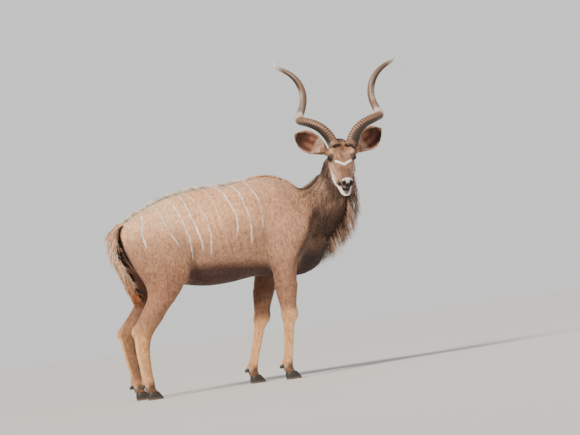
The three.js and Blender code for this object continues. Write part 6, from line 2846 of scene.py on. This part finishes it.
        # Painted shade: the hairs towards the body turn near-black.
        for colours in (tone, tip):
            colours += front[:, None] * (np.array(Tones.dark) - colours)
        ending = (ramp(along, 0.72, 0.86) * random.uniform(0, 1, count))[:, None]
        tip += ending * (np.array(Tones.dark) - tip)
        size = self.tail_length * random.uniform(0.65, 1.1, count) * (0.5 + 0.5 * ramp(along, 0.05, 0.2))
        roots = LockRoots(seed)
        roots.add({
            "root": root, "way": line + (0.36 + 0.9 * front[:, None]) * out,
            "fall": line + (0.45 * front[:, None] - 0.08) * out, "side": np.cross(line, out),
            "length": np.minimum(size, 40 + 640 * (1.02 - along)), "tone": tone, "tip": tip,
        }, self.tail_strands, 4.5, 1.7, 0.8)
        roots.build("hair_tail_fringe", "tail_hair", Region.TAIL, finish, 5, self.seed)


@dataclass(frozen=True)
class Mouth:
    """The dark lining between the jaws, and the tongue on it."""

    lining: Tuple[Tuple[float, float, float, float], ...] = (
        (300, -112, 34, 20), (330, -114, 32, 22), (360, -115, 30, 24), (384, -117, 27, 24),
        (390, -118, 20, 16),
    )
    tongue: Tuple[Tuple[float, float, float, float], ...] = (
        (320, -128, 20, 6), (350, -129, 21, 7), (380, -131, 20, 7), (400, -134, 16, 6), (408, -136, 8, 3),
    )
    sides: int = 32

    def build(self, finish: MouthFinish) -> bpy.types.Object:
        """Make the lining and the tongue.

        Args:
            finish: Their finish.

        Returns:
            The object.
        """
        turn = angles_round(self.sides)
        points: List[Array] = []
        faces: List[Tuple[int, ...]] = []
        pink: List[Array] = []
        count = 0
        for table, share in ((self.lining, 0.0), (self.tongue, 1.0)):
            rings = []
            for face, up, half, high in smooth_stations(table, 4):
                groove = share * 2.5 * blob(np.cos(turn), 0, 0.3) * (np.sin(turn) > 0)
                local = (np.cos(turn) * half, up + np.sin(turn) * high - groove, np.full(self.sides, face))
                rings.append(HEAD.point(np.stack(local, axis=1)))
            corners, own = loft_parts(np.array(rings), count)
            points.append(corners)
            faces += own
            pink.append(np.full(len(corners), share))
            count += len(corners)
        thing = piece("mouth_lining_tongue", np.concatenate(points), faces)
        write_attribute(thing.data, "pink", "FLOAT", np.concatenate(pink))
        thing.data.materials.append(finish.material)
        return thing


def main() -> None:
    """Build the model piece by piece and report each."""
    logging.basicConfig(level=logging.INFO, format="%(name)s: %(message)s")
    Studio().build()
    skin_builder = Skin()
    skin = skin_builder.build()
    close_coat = SkinFinish()
    skin.data.materials.clear()
    skin.data.materials.append(close_coat.material)
    coat = ShortCoat(skin)
    coat.prepare()
    add(skin, close_coat.slot, *skin_builder.nodes)
    coat.build(HairFinish())
    LongHair().build(LongHairFinish())
    mouth_finish = MouthFinish()
    add(Mouth().build(mouth_finish), mouth_finish.slot)
    horn_finish, eye_finish, lid_finish, hoof_finish = HornFinish(), EyeFinish(), LidFinish(), HoofFinish()
    for hand in HANDS:
        add(HornForm().build(hand, horn_finish), horn_finish.slot, f"horn_{hand_word(hand)}")
        add(Eyes().ball(hand, eye_finish), eye_finish.slot, f"eye_{hand_word(hand)}")
        add(Eyes().lids(hand, lid_finish), lid_finish.slot)
    feet = {
        Region.FORE_RIGHT: "hoof_front_right", Region.FORE_LEFT: "hoof_front_left",
        Region.HIND_RIGHT: "hoof_hind_right", Region.HIND_LEFT: "hoof_hind_left",
    }
    for limb, node in feet.items():
        add(Hooves().build(limb, f"{node}_claws", hoof_finish), hoof_finish.slot, node)


def add(thing: bpy.types.Object, slot: str, *nodes: str) -> None:
    """Let a piece ride on the body and replace nodes.

    Args:
        thing: The piece.
        slot: The record's slot of its finish; not used.
        nodes: The nodes that it stands for.
    """
    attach(thing, "root")
    if nodes:
        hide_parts(*nodes)
    LOG.info("%s: %d triangles", thing.name, sum(len(f.vertices) - 2 for f in thing.data.polygons))


if __name__ == "__main__":
    main()
